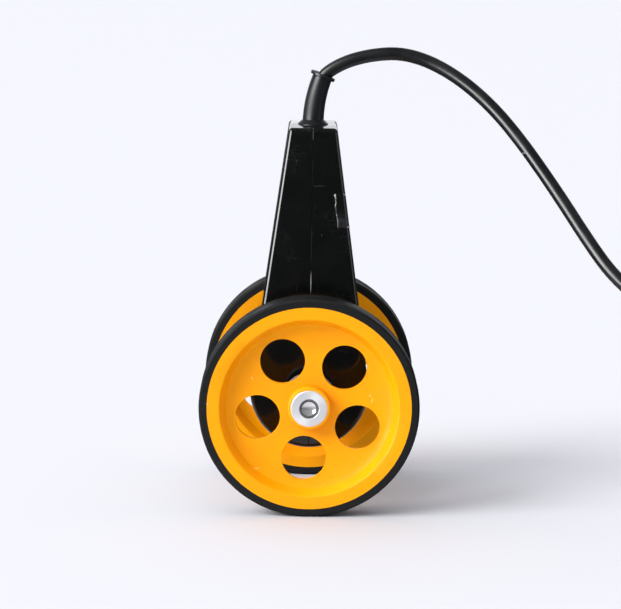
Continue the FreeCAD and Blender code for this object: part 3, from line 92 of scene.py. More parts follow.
class Sheen(Enum):
    """How a finish takes the light: its roughness at the smooth end and at the dull end."""

    POLISHED = (0.06, 0.16)
    GLOSSY = (0.10, 0.24)
    SLEEK = (0.26, 0.34)
    SATIN = (0.30, 0.46)
    DULL = (0.52, 0.70)


@dataclass(frozen=True)
class Sheet:
    """A small helper that adds and joins the nodes of one material or node group.

    Attributes:
        tree: The node tree that the nodes go into.
    """

    tree: NodeTree

    def add(self, kind: str, **settings: object) -> Node:
        """Adds a node and sets what is given.

        Args:
            kind: The node's type name, without its ShaderNode prefix where it has one.
            settings: Properties by name. A name that is no property is an input socket's name, with spaces
                written as underscores.

        Returns:
            The new node.
        """
        name = kind if kind.startswith("Node") else f"ShaderNode{kind}"
        node = self.tree.nodes.new(name)
        for key, value in settings.items():
            if hasattr(node, key):
                setattr(node, key, value)
            else:
                self.feed(node, key.replace("_", " "), value)
        return node

    def feed(self, node: Node, name: str, value: object) -> None:
        """Links a socket, or sets its own value, on an input.

        Args:
            node: The node whose input it is.
            name: The input's name, or its number as text.
            value: A socket to link, or a plain value.
        """
        socket = node.inputs[int(name)] if name.isdigit() else node.inputs[name]
        if isinstance(value, NodeSocket):
            self.tree.links.new(value, socket)
        elif isinstance(value, tuple) and socket.type == "RGBA":
            socket.default_value = (*value[:3], 1.0)
        else:
            socket.default_value = value

    def maths(self, operation: str, first: object, second: object = 0.0, clamp: bool = False) -> NodeSocket:
        """Adds a Math node.

        Args:
            operation: The operation's name, such as MULTIPLY.
            first: The first value or socket.
            second: The second value or socket.
            clamp: Whether the result is held between 0 and 1.

        Returns:
            The node's result.
        """
        node = self.add("Math", operation=operation, use_clamp=clamp)
        self.feed(node, "0", first)
        self.feed(node, "1", second)
        return node.outputs[0]

    def product(self, *factors: object) -> NodeSocket:
        """Multiplies two or more values or sockets.

        Args:
            factors: What is multiplied, from the first to the last.

        Returns:
            The product.
        """
        result = factors[0]
        for factor in factors[1:]:
            result = self.maths("MULTIPLY", result, factor)
        return result

    def noise(self, place: NodeSocket, scale: object, detail: float, roughness: float = 0.5) -> NodeSocket:
        """Adds a noise texture.

        Args:
            place: The coordinates that it reads.
            scale: Its scale, as a value or a socket.
            detail: How many finer layers it has.
            roughness: How strong the finer layers are.

        Returns:
            Its value.
        """
        node = self.add("TexNoise", Vector=place, Scale=scale, Detail=detail, Roughness=roughness)
        return node.outputs["Fac"]

    def spread(
        self, value: object, low: float, high: float, to_low: float = 0.0, to_high: float = 1.0
    ) -> NodeSocket:
        """Maps a range of values to another range, with soft ends.

        Args:
            value: The value or socket to map.
            low: The value that gives to_low.
            high: The value that gives to_high.
            to_low: The first result.
            to_high: The last result.

        Returns:
            The mapped value.
        """
        node = self.add("MapRange", interpolation_type="SMOOTHSTEP")
        for name, number in (("From Min", low), ("From Max", high), ("To Min", to_low), ("To Max", to_high)):
            node.inputs[name].default_value = number
        self.feed(node, "Value", value)
        return node.outputs["Result"]

    def blend(self, share: object, first: object, second: object) -> NodeSocket:
        """Mixes two colours.

        Args:
            share: How much of the second colour shows.
            first: The first colour or socket.
            second: The second colour or socket.

        Returns:
            The mixed colour.
        """
        node = self.add("Mix", data_type="RGBA")
        self.feed(node, "0", share)
        self.feed(node, "6", first)
        self.feed(node, "7", second)
        return node.outputs[2]


def start_material(name: str, **settings: object) -> tuple[Material, Sheet, Node]:
    """Makes a material that is one plain shader so far.

    Args:
        name: The material's name.
        settings: The shader's plain values, as Sheet.add takes them.

    Returns:
        The material, its sheet and its shader.
    """
    material = bpy.data.materials.new(name)
    material.use_nodes = True
    material.node_tree.nodes.clear()
    sheet = Sheet(material.node_tree)
    shader = sheet.add("BsdfPrincipled", **settings)
    sheet.feed(sheet.add("OutputMaterial"), "Surface", shader.outputs["BSDF"])
    return material, sheet, shader


def add_object(name: str, data: bpy.types.ID) -> Object:
    """Puts data in the scene as an object.

    Args:
        name: The object's name.
        data: Its mesh, curve, light or camera.

    Returns:
        The object.
    """
    thing = bpy.data.objects.new(name, data)
    bpy.context.scene.collection.objects.link(thing)
    return thing


class SurfaceGroups:
    """The node groups that more than one finish uses, each made once."""

    # How the coordinates are turned, in radians, and stretched for each set of scuffs.
    SCUFF_SETS = (((0.5, 0.3, 0.85), (1.0, 14.0, 0.7)), ((-0.9, -0.54, -1.53), (0.8, 9.0, 1.6)))
    SCUFF_WIDTH = 0.012
    # The noise values between which a patch of scuffs and a speck of dust begin.
    SCUFF_PATCH: Range = (0.5, 0.68)
    DUST_SPECK: Range = (0.16, 0.4)
    # The upward parts of a face's direction between which dust begins to hold.
    DUST_LEVEL: Range = (0.1, 1.0)
    # The part of a mark's depth along Y that counts, so that it reaches through an uneven surface.
    MARK_DEPTH_SHARE = 0.4
    # The distances from a mark's middle, as shares of its reach, between which it ends.
    MARK_EDGE: Range = (0.9, 1.5)

    def __init__(self) -> None:
        """Makes every group."""
        self.grain = self._make_grain()
        self.scuffs = self._make_scuffs()
        self.turning = self._make_turning()
        self.dust = self._make_dust()
        self.mark = self._make_mark()

    @staticmethod
    def _start(
        name: str, inputs: dict[str, float], outputs: list[str]
    ) -> tuple[Sheet, dict[str, NodeSocket], Node]:
        """Starts a group with a Vector input, number inputs and number outputs.

        Args:
            name: The group's name.
            inputs: The number inputs with their plain values.
            outputs: The outputs' names.

        Returns:
            The group's sheet, its inputs by name and its output node.
        """
        tree = bpy.data.node_groups.new(name, "ShaderNodeTree")
        tree.interface.new_socket("Vector", in_out="INPUT", socket_type="NodeSocketVector")
        for key, value in inputs.items():
            socket = tree.interface.new_socket(key, in_out="INPUT", socket_type="NodeSocketFloat")
            socket.default_value = value
        for key in outputs:
            tree.interface.new_socket(key, in_out="OUTPUT", socket_type="NodeSocketFloat")
        sheet = Sheet(tree)
        given = {socket.name: socket for socket in sheet.add("NodeGroupInput").outputs}
        return sheet, given, sheet.add("NodeGroupOutput")

    def _make_grain(self) -> NodeTree:
        """Fine moulded grain over a slow unevenness of the surface.

        Returns:
            A group with Size and Unevenness inputs, and Height and Mottle outputs.
        """
        inputs = {"Size": 0.4 * MM, "Unevenness": 0.3}
        sheet, given, result = self._start("fine_grain", inputs, ["Height", "Mottle"])
        place = given["Vector"]
        fine = sheet.noise(place, sheet.maths("DIVIDE", 1.0, given["Size"]), detail=3.0, roughness=0.55)
        slow = sheet.noise(place, scale=90.0, detail=4.0)
        uneven = sheet.product(slow, given["Unevenness"])
        sheet.feed(result, "Height", sheet.maths("ADD", fine, uneven))
        sheet.feed(result, "Mottle", sheet.spread(slow, *NOISE_RANGE))
        return sheet.tree

    def _make_scuffs(self) -> NodeTree:
        """Hairline scratches that run in two leaning directions and come in patches.

        Returns:
            A group with Size and Amount inputs, and a Mask output.
        """
        sheet, given, result = self._start("hairline_scuffs", {"Size": 4 * MM, "Amount": 0.5}, ["Mask"])
        place = given["Vector"]
        scale = sheet.maths("DIVIDE", 1.0, given["Size"])
        lines = []
        for turn, stretch in self.SCUFF_SETS:
            turned = sheet.add("Mapping", Vector=place, Rotation=turn, Scale=stretch).outputs["Vector"]
            cell = sheet.add("TexVoronoi", feature="DISTANCE_TO_EDGE", Vector=turned, Scale=scale)
            lines.append(sheet.spread(cell.outputs["Distance"], 0.0, self.SCUFF_WIDTH, 1.0, 0.0))
        both = sheet.maths("MAXIMUM", *lines)
        held = sheet.spread(sheet.noise(place, scale=60.0, detail=5.0), *self.SCUFF_PATCH)
        sheet.feed(result, "Mask", sheet.product(both, held, given["Amount"]))
        return sheet.tree

    def _make_turning(self) -> NodeTree:
        """Rings left by a lathe round the axle's line, or round any line along Y.

        Returns:
            A group with Centre X, Centre Z and Pitch inputs, and Height and Radius outputs.
        """
        inputs = {"Centre X": 0.0, "Centre Z": 0.0, "Pitch": 0.2 * MM}
        sheet, given, result = self._start("lathe_turning", inputs, ["Height", "Radius"])
        parts = sheet.add("SeparateXYZ", Vector=given["Vector"])
        across = sheet.maths("SUBTRACT", parts.outputs["X"], given["Centre X"])
        up = sheet.maths("SUBTRACT", parts.outputs["Z"], given["Centre Z"])
        radius = sheet.maths("SQRT", sheet.maths("ADD", sheet.product(across, across), sheet.product(up, up)))
        steps = sheet.maths("DIVIDE", sheet.maths("ADD", radius, parts.outputs["Y"]), given["Pitch"])
        rings = sheet.add("TexNoise", noise_dimensions="1D", W=steps, Detail=2.0, Roughness=0.7, Scale=1.0)
        sheet.feed(result, "Height", rings.outputs["Fac"])
        sheet.feed(result, "Radius", radius)
        return sheet.tree

    def _make_dust(self) -> NodeTree:
        """Thin dust that settles on faces that look up.

        Returns:
            A group with an Amount input and a Mask output.
        """
        sheet, given, result = self._start("settled_dust", {"Amount": 0.2}, ["Mask"])
        normal = sheet.add("SeparateXYZ", Vector=sheet.add("NewGeometry").outputs["Normal"])
        level = sheet.spread(normal.outputs["Z"], *self.DUST_LEVEL)
        speck = sheet.noise(given["Vector"], scale=900.0, detail=4.0)
        cloud = sheet.noise(given["Vector"], scale=45.0, detail=3.0)
        specks = sheet.spread(sheet.product(speck, cloud), *self.DUST_SPECK)
        sheet.feed(result, "Mask", sheet.product(specks, level, given["Amount"]))
        return sheet.tree

    def _make_mark(self) -> NodeTree:
        """One small lens-shaped mark at a place, with a ragged edge.

        Returns:
            A group with X, Y, Z, Length and Width inputs in millimetres, a Turn input in radians and a Mask
            output.
        """
        inputs = {"X": 0.0, "Y": 0.0, "Z": 0.0, "Length": 1.0, "Width": 0.2, "Turn": 0.0}
        sheet, given, result = self._start("small_mark", inputs, ["Mask"])
        parts = sheet.add("SeparateXYZ", Vector=given["Vector"])
        across, away, up = (
            sheet.maths("SUBTRACT", sheet.product(parts.outputs[axis], 1 / MM), given[axis])
            for axis in "XYZ"
        )
        sine = sheet.maths("SINE", given["Turn"])
        cosine = sheet.maths("COSINE", given["Turn"])
        along = sheet.maths("ADD", sheet.product(across, sine), sheet.product(up, cosine))
        beside = sheet.maths("SUBTRACT", sheet.product(across, cosine), sheet.product(up, sine))
        scaled = sheet.add(
            "CombineXYZ",
            X=sheet.maths("DIVIDE", along, sheet.product(given["Length"], 0.5)),
            Y=sheet.maths("DIVIDE", beside, sheet.product(given["Width"], 0.5)),
            Z=sheet.product(away, self.MARK_DEPTH_SHARE),
        )
        reach = sheet.add("VectorMath", operation="LENGTH")
        sheet.feed(reach, "0", scaled.outputs["Vector"])
        ragged = sheet.noise(given["Vector"], scale=2500.0, detail=2.0)
        edge = sheet.maths("ADD", reach.outputs["Value"], sheet.product(ragged, 0.5))
        sheet.feed(result, "Mask", sheet.spread(edge, *self.MARK_EDGE, 1.0, 0.0))
        return sheet.tree


@dataclass(frozen=True)
class Finish:
    """What every finish has in common.

    Attributes:
        name: The material's name.
        base: The main colour.
        shade: The colour that the mottling drifts to.
        sheen: Which pair of roughness values the surface has.
    """

    name: str
    base: Colour
    shade: Colour
    sheen: Sheen

    def open(self, **settings: object) -> tuple[Material, Sheet, Node, NodeSocket]:
        """Starts the material.

        Args:
            settings: The shader's plain values, as Sheet.add takes them.

        Returns:
            The material, its sheet, its shader and its Object coordinates.
        """
        material, sheet, shader = start_material(self.name, **settings)
        return material, sheet, shader, sheet.add("TexCoord").outputs["Object"]


@dataclass(frozen=True)
class Mark:
    """One small scratch, flash line, speck or painted highlight, as an ellipsoid in which the surface has
    another colour.

    Attributes:
        place: Its middle, in millimetres.
        length: Its length, in millimetres.
        width: Its width, in millimetres.
        turn: How far it leans from upright, in degrees to the right.
        colour: Its colour.
    """

    place: Place
    length: float
    width: float
    turn: float
    colour: Colour


@dataclass(frozen=True)
class MouldedFinish(Finish):
    """Moulded plastic or rubber: grain, slow mottling, hairline scuffs and a little dust.

    Attributes:
        grain_size: The size of one grain.
        grain_depth: How deep the grain is.
        scuff_amount: How strong the scuffs are.
        scuff_colour: The colour of a scuff.
        dust_amount: How much dust lies on upper faces.
        specular: The strength of the plain reflection.
        bleed: How much light passes under the surface.
        marks: The small marks on it.
    """

    grain_size: float = 0.4 * MM
    grain_depth: float = 0.02 * MM
    scuff_amount: float = 0.4
    scuff_colour: Colour = (0.3, 0.3, 0.3)
    dust_amount: float = 0.15
    specular: float = 0.5
    bleed: float = 0.0
    marks: tuple[Mark, ...] = ()

    def make(self, groups: SurfaceGroups) -> Material:
        """Builds the material.

        Args:
            groups: The shared groups.

        Returns:
            The material.
        """
        material, sheet, shader, place = self.open(
            Specular_IOR_Level=self.specular,
            Subsurface_Weight=self.bleed,
            Subsurface_Radius=BLEED_REACH,
            Subsurface_Scale=BLEED_DEPTH,
        )
        grain = sheet.add("Group", node_tree=groups.grain, Vector=place, Size=self.grain_size)
        scuffs = sheet.add("Group", node_tree=groups.scuffs, Vector=place, Amount=self.scuff_amount)
        dust = sheet.add("Group", node_tree=groups.dust, Vector=place, Amount=self.dust_amount)
        colour = sheet.blend(grain.outputs["Mottle"], self.base, self.shade)
        colour = sheet.blend(scuffs.outputs["Mask"], colour, self.scuff_colour)
        colour = sheet.blend(dust.outputs["Mask"], colour, DUST_COLOUR)
        for mark in self.marks:
            middle = dict(zip("XYZ", mark.place))
            form = {"Length": mark.length, "Width": mark.width, "Turn": math.radians(mark.turn)}
            spot = sheet.add("Group", node_tree=groups.mark, Vector=place, **middle, **form)
            colour = sheet.blend(spot.outputs["Mask"], colour, mark.colour)
        sheet.feed(shader, "Base Color", colour)
        rough = sheet.spread(grain.outputs["Mottle"], 0.0, 1.0, *self.sheen.value)
        for worn, more in ((scuffs, SCUFF_ROUGHNESS), (dust, DUST_ROUGHNESS)):
            rough = sheet.maths("ADD", rough, sheet.product(worn.outputs["Mask"], more), clamp=True)
        sheet.feed(shader, "Roughness", rough)
        height = sheet.maths("SUBTRACT", grain.outputs["Height"], scuffs.outputs["Mask"])
        bump = sheet.add("Bump", Distance=self.grain_depth, Height=height)
        sheet.feed(shader, "Normal", bump.outputs["Normal"])
        return material


@dataclass(frozen=True)
class TurnedFinish(Finish):
    """Turned or drawn metal: rings round a line along Y, and faint stains.

    Attributes:
        pitch: The step from one ring to the next.
        centre: The turning line's X and Z.
        metallic: How metallic it is; fine turning marks scatter a part of the light as a matt surface does.
        brushed: How much the turning marks stretch the reflections.
        dark_ring: The radii of a dark ring, where there is one; on the hub it is painted shade in the axle's
            gap.
        dimple: The radius of the hollow in the rod's end, where there is one.
    """

    pitch: float = 0.16 * MM
    centre: tuple[float, float] = (0.0, 0.0)
    metallic: float = 1.0
    brushed: float = 0.0
    dark_ring: Range = (0.0, 0.0)
    dimple: float = 0.0

    def make(self, groups: SurfaceGroups) -> Material:
        """Builds the material.

        Args:
            groups: The shared groups.

        Returns:
            The material.
        """
        material, sheet, shader, place = self.open(Metallic=self.metallic)
        centre = dict(zip(("Centre_X", "Centre_Z"), self.centre))
        turning = sheet.add("Group", node_tree=groups.turning, Vector=place, Pitch=self.pitch, **centre)
        rings, radius = turning.outputs["Height"], turning.outputs["Radius"]
        grain = sheet.add("Group", node_tree=groups.grain, Vector=place, Size=METAL_GRAIN)
        colour = sheet.blend(sheet.product(rings, grain.outputs["Mottle"]), self.base, self.shade)
        inner, outer = self.dark_ring
        # The dark ring; on the hub it is painted shade in the gap round the axle.
        if outer > 0:
            past = sheet.spread(radius, inner - DARK_RING_BLUR, inner + DARK_RING_BLUR)
            short = sheet.spread(radius, outer - DARK_RING_BLUR, outer + DARK_RING_BLUR, 1.0, 0.0)
            colour = sheet.blend(sheet.product(past, short), colour, DARK_RING_COLOUR)
        sheet.feed(shader, "Base Color", colour)
        sheet.feed(shader, "Roughness", sheet.spread(rings, *RING_RANGE, *self.sheen.value))
        bump = sheet.add("Bump", Distance=RING_DEPTH, Height=rings)
        if self.dimple > 0:
            share = sheet.maths("MINIMUM", sheet.maths("DIVIDE", radius, self.dimple), 1.0)
            bowl = sheet.product(share, share, self.dimple * DIMPLE_SLOPE / 2)
            hollow = sheet.add("Bump", Distance=1.0, Height=bowl)
            sheet.feed(bump, "Normal", hollow.outputs["Normal"])
        sheet.feed(shader, "Normal", bump.outputs["Normal"])
        if self.brushed > 0:
            sheet.feed(shader, "Anisotropic", self.brushed)
            sheet.feed(shader, "Tangent", sheet.add("Tangent", direction_type="RADIAL", axis="Y").outputs[0])
        return material


@dataclass(frozen=True)
class PatchFinish(Finish):
    """The blank worn patch: a dark film whose left edge is torn pale, greyer at its lower end.

    Painted glints sit at both ends, on the corner. Every share is of the patch's own width or height.

    Attributes:
        scratch_and_glint_colour: The colour of the torn edge and of the painted glints.
        sway: How far the torn line strays across the patch.
        line: The line's middle before it strays, as a share of the width.
        line_edge: The distances from the middle between which the line ends.
        line_strength: The line's strength at the lower end and at three quarters of the height.
        glint_place: The middle of the painted glints at both ends, on the lit corner, as a share of the
            width.
        glint_edge: The distances from their middle between which the glints end.
        end_edge: The distances from half the height between which the glints begin.
        rubbed_height: The heights between which the grey end stops.
        rubbed_strength: Its greyness at the lower end.
        rubbed_share: How much of it the noise leaves, at least and at most.
        broken_range: The noise values between which the torn edge is whole again.
        broken_share: How much of it shows where it is broken and where it is whole.
        relief: How high the torn edge stands.
    """

    scratch_and_glint_colour: Colour = (0.55, 0.55, 0.56)
    sway: float = 0.22
    line: float = -0.09
    line_edge: Range = (0.003, 0.015)
    line_strength: Range = (0.25, 0.8)
    glint_place: float = 0.45
    glint_edge: Range = (0.04, 0.09)
    end_edge: Range = (0.43, 0.48)
    rubbed_height: Range = (0.2, 0.55)
    rubbed_strength: float = 0.9
    rubbed_share: Range = (0.4, 1.0)
    broken_range: Range = (0.38, 0.56)
    broken_share: Range = (0.25, 1.0)
    relief: float = 0.03 * MM

    def make(self, groups: SurfaceGroups) -> Material:
        """Builds the material, which reads the patch's own UV map.

        Args:
            groups: The shared groups.

        Returns:
            The material.
        """
        material, sheet, shader, place = self.open()
        parts = sheet.add("SeparateXYZ", Vector=sheet.add("TexCoord").outputs["UV"])
        across, up = parts.outputs["X"], parts.outputs["Y"]
        stray = sheet.product(sheet.noise(place, scale=260.0, detail=3.0), -self.sway)
        strayed = sheet.maths("ADD", across, stray)
        off_line = sheet.maths("ABSOLUTE", sheet.maths("ADD", strayed, -self.line))
        line = sheet.spread(off_line, *self.line_edge, 1.0, 0.0)
        fade = sheet.spread(up, 0.0, 0.75, *self.line_strength)
        off_middle = sheet.maths("ABSOLUTE", sheet.maths("SUBTRACT", up, 0.5))
        # Painted glints at both ends of the corner, where it catches the light.
        off_glints = sheet.maths("ABSOLUTE", sheet.maths("SUBTRACT", across, self.glint_place))
        near_glints = sheet.spread(off_glints, *self.glint_edge, 1.0, 0.0)
        glints = sheet.product(sheet.spread(off_middle, *self.end_edge), near_glints)
        # The torn line and the painted glints share one mask and one colour.
        torn = sheet.maths("MAXIMUM", sheet.product(line, fade), glints)
        worn = sheet.noise(place, scale=1100.0, detail=5.0, roughness=0.7)
        broken = sheet.spread(worn, *self.broken_range, *self.broken_share)
        mask = sheet.maths("MULTIPLY", torn, broken, clamp=True)
        rubbed = sheet.noise(place, scale=330.0, detail=4.0)
        low = sheet.spread(up, *self.rubbed_height, self.rubbed_strength, 0.0)
        dulled = sheet.product(sheet.spread(rubbed, *NOISE_RANGE, *self.rubbed_share), low)
        colour = sheet.blend(dulled, self.base, self.shade)
        sheet.feed(shader, "Base Color", sheet.blend(mask, colour, self.scratch_and_glint_colour))
        sheet.feed(shader, "Roughness", sheet.spread(rubbed, *NOISE_RANGE, *self.sheen.value))
        grain = sheet.add("Group", node_tree=groups.grain, Vector=place)
        height = sheet.maths("ADD", mask, grain.outputs["Height"])
        bump = sheet.add("Bump", Distance=self.relief, Height=height)
        sheet.feed(shader, "Normal", bump.outputs["Normal"])
        return material


# Small marks seen in the photograph, in millimetres.
WHEEL_MARKS_AND_RIM_GLINT = (
    Mark((27.2, -43.2, 50.6), 2.2, 0.22, 25.0, (1.0, 0.78, 0.35)),
    Mark((26.4, -43.2, 52.8), 1.6, 0.20, -35.0, (1.0, 0.78, 0.35)),
    Mark((-24.9, -43.2, 59.8), 1.6, 0.20, -30.0, (1.0, 0.75, 0.28)),
    Mark((-22.7, -43.2, 20.0), 3.0, 0.24, 82.0, (1.0, 0.80, 0.40)),
    Mark((10.0, -43.2, 16.5), 0.5, 0.35, 0.0, (0.35, 0.12, 0.01)),
    # A flash line on the rim's edge by the tyre, painted pale as the glint that it catches.
    Mark((-44.0, -49.5, 49.3), 1.0, 0.25, 70.0, (1.0, 0.88, 0.55)),
)
SHELL_MARKS_AND_SEAM_HIGHLIGHTS = (
    Mark((2.9, -21.0, 141.2), 5.2, 0.34, 88.0, (0.030, 0.030, 0.032)),
    Mark((0.2, -21.0, 119.9), 1.0, 0.40, 60.0, (0.03, 0.03, 0.033)),
    Mark((4.4, -21.0, 119.6), 0.7, 0.50, 0.0, (0.05, 0.05, 0.053)),
    Mark((-6.0, -21.0, 96.0), 3.0, 0.20, 20.0, (0.018, 0.018, 0.019)),
    # The four upright marks on the middle line are painted highlights along the seam between the shells.
    Mark((0.0, -21.0, 98.6), 9.5, 0.40, 0.0, (0.30, 0.30, 0.30)),
    Mark((0.0, -21.0, 115.5), 19.0, 0.30, 0.0, (0.026, 0.026, 0.026)),
    Mark((0.0, -21.0, 148.5), 14.0, 0.26, 0.0, (0.018, 0.018, 0.018)),
    Mark((0.0, -21.0, 163.6), 5.0, 0.34, 0.0, (0.09, 0.09, 0.092)),
)
CABLE_MARKS = (Mark((91.6, -24.0, 157.6), 2.6, 0.30, 60.0, (0.45, 0.45, 0.47)),)


def turning_line(name: str) -> tuple[float, float]:
    """Finds the line along Y through a node's middle.

    Args:
        name: The node's name.

    Returns:
        The line's X and Z.
    """
    low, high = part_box(name)
    return (low[0] + high[0]) / 2, (low[2] + high[2]) / 2


def make_finishes() -> dict[str, Material]:
    """Makes every finish of the object once.

    Returns:
        The materials by name.
    """
    groups = SurfaceGroups()
    # The axle lies over the frame's origin.
    at_axle = (0.0, turning_line("axle")[1])
    at_plug = turning_line("plug_sleeve")
    finishes = (
        MouldedFinish(
            "yellow_wheel_plastic", (0.960, 0.375, 0.001), (0.945, 0.350, 0.001), Sheen.SATIN,
            grain_size=0.3 * MM, grain_depth=0.012 * MM, scuff_amount=0.2, scuff_colour=(1.0, 0.60, 0.08),
            dust_amount=0.01, specular=0.12, bleed=0.12, marks=WHEEL_MARKS_AND_RIM_GLINT,
        ),
        MouldedFinish(
            "tyre_rubber", (0.010, 0.0107, 0.011), (0.0075, 0.008, 0.0083), Sheen.DULL,
            grain_size=0.25 * MM, grain_depth=0.03 * MM, scuff_amount=0.3,
            scuff_colour=(0.08, 0.08, 0.08), dust_amount=0.02, specular=0.12,
        ),
        MouldedFinish(
            "black_shell_plastic", (0.0024, 0.0028, 0.0027), (0.0031, 0.0035, 0.0034), Sheen.POLISHED,
            grain_size=1.2 * MM, grain_depth=0.003 * MM, scuff_amount=0.22,
            scuff_colour=(0.10, 0.10, 0.10), dust_amount=0.05, marks=SHELL_MARKS_AND_SEAM_HIGHLIGHTS,
        ),
        MouldedFinish(
            "cable_sheath", (0.0060, 0.0066, 0.0072), (0.0078, 0.0084, 0.0092), Sheen.SLEEK,
            grain_size=0.5 * MM, grain_depth=0.006 * MM, scuff_amount=0.10,
            scuff_colour=(0.16, 0.16, 0.17), dust_amount=0.02, marks=CABLE_MARKS,
        ),
        MouldedFinish(
            "boot_rubber", (0.0070, 0.0084, 0.0118), (0.0056, 0.0068, 0.0092), Sheen.SATIN,
            grain_size=0.35 * MM, grain_depth=0.02 * MM, scuff_amount=0.3,
            scuff_colour=(0.10, 0.10, 0.11), dust_amount=0.03, specular=0.4,
        ),
        MouldedFinish("board_laminate", (0.012, 0.16, 0.05), (0.010, 0.12, 0.04), Sheen.GLOSSY),
        MouldedFinish("dark_plastic", (0.03, 0.03, 0.033), (0.022, 0.022, 0.024), Sheen.SATIN),
        MouldedFinish("cream_plastic", (0.72, 0.68, 0.56), (0.66, 0.61, 0.49), Sheen.SATIN, bleed=0.1),
        MouldedFinish("conductor_sheath", (0.20, 0.20, 0.21), (0.16, 0.16, 0.17), Sheen.SATIN),
        # The hub's dark ring is painted shade in the gap round the axle.
        TurnedFinish(
            "hub_aluminium", (0.86, 0.87, 0.895), (0.74, 0.75, 0.775), Sheen.SATIN,
            metallic=0.5, brushed=0.6, dark_ring=(4.0 * MM, 4.2 * MM), centre=at_axle,
        ),
        TurnedFinish(
            "bright_steel", (0.80, 0.80, 0.81), (0.50, 0.50, 0.51), Sheen.GLOSSY,
            pitch=0.3 * MM, metallic=0.75, dark_ring=(3.2 * MM, 3.4 * MM), dimple=3.0 * MM, centre=at_axle,
        ),
        TurnedFinish("dark_steel", (0.10, 0.10, 0.11), (0.06, 0.06, 0.065), Sheen.SATIN, centre=at_axle),
        TurnedFinish("plug_nickel", (0.72, 0.70, 0.66), (0.60, 0.58, 0.54), Sheen.GLOSSY, centre=at_plug),
        TurnedFinish(
            "contact_gold", (0.90, 0.62, 0.22), (0.80, 0.52, 0.16), Sheen.GLOSSY, centre=at_plug,
        ),
        PatchFinish("blank_worn_patch", (0.0030, 0.0034, 0.0032), (0.026, 0.027, 0.029), Sheen.GLOSSY),
    )
    return {finish.name: finish.make(groups) for finish in finishes}


@dataclass(frozen=True)
class CadDresser:
    """Gives the carried-over pieces their finish and smooth shading.

    Attributes:
        finishes: The finishes to take from, by name.
    """

    # The finish of each material slot that isn't named as its finish is.
    FINISH_OF_SLOT = {
        "yellow_plastic": "yellow_wheel_plastic",
        "black_plastic": "black_shell_plastic",
        "steel": "bright_steel",
        "bearing_ball_steel": "bright_steel",
        "dark_screw_steel": "dark_steel",
    }

    finishes: dict[str, Material]

    def dress_all(self) -> None:
        """Dresses every node by its record's material slot."""
        for row in frame["record"]["subparts"]:
            slot = row["material_slot"]
            self.dress(frame["nodes"][row["node"]], self.finishes[self.FINISH_OF_SLOT.get(slot, slot)])

    def dress(self, node: Object, material: Material) -> None:
        """Gives one node its material, and smooth faces between its sharp edges.

        Args:
            node: The node's object, whose own mesh stays as it is.
            material: The material.
        """
        node.data.materials.clear()
        node.data.materials.append(material)
        node.data.polygons.foreach_set("use_smooth", [True] * len(node.data.polygons))
        weld = node.modifiers.new("joined", "WELD")
        weld.merge_threshold = WELD_DISTANCE
        split = node.modifiers.new("sharp_edges", "EDGE_SPLIT")
        split.split_angle = math.radians(SHARP_EDGE)
        split.use_edge_sharp = False
        LOG.info("dressed %s in %s", node.name, material.name)


@dataclass(frozen=True)
class PhotoCamera:
    """The camera that took the photograph, as fitted to both wheels.

    Attributes:
        focal_pixels: The focal length in the photograph's pixels.
        image_width: The photograph's width in pixels.
        elevation: How far the camera looks down, in degrees.
        azimuth: How far it stands off the axle's line, in degrees.
        roll: How far it leans, in degrees.
        distance: Its distance from the target.
        target: The point in the middle of the frame.
        sight: How far it sees.
    """

    focal_pixels: float = 2700.0
    image_width: float = 621.0
    elevation: float = 9.08
    azimuth: float = -0.27
    roll: float = 0.90
    distance: float = 1.207
    target: Place = (0.00011, 0.0, 0.08552)
    sight: float = 100.0

    def place(self) -> None:
        """Makes the camera and makes it the scene's own."""
        turn, rise, lean = map(math.radians, (self.azimuth, self.elevation, self.roll))
        ahead = Vector((-math.sin(turn) * math.cos(rise), math.cos(turn) * math.cos(rise), -math.sin(rise)))
        right = ahead.cross(Vector((0, 0, 1))).normalized()
        up = right.cross(ahead)
        leaned_right = right * math.cos(lean) + up * math.sin(lean)
        leaned_up = up * math.cos(lean) - right * math.sin(lean)
        data = bpy.data.cameras.new("photo_camera")
        data.sensor_fit = "HORIZONTAL"
        data.lens = self.focal_pixels / self.image_width * data.sensor_width
        data.clip_end = self.sight
        camera = add_object("photo_camera", data)
        axes = Matrix((leaned_right, leaned_up, -ahead)).transposed().to_4x4()
        camera.matrix_world = Matrix.Translation(Vector(self.target) - ahead * self.distance) @ axes
        bpy.context.scene.camera = camera


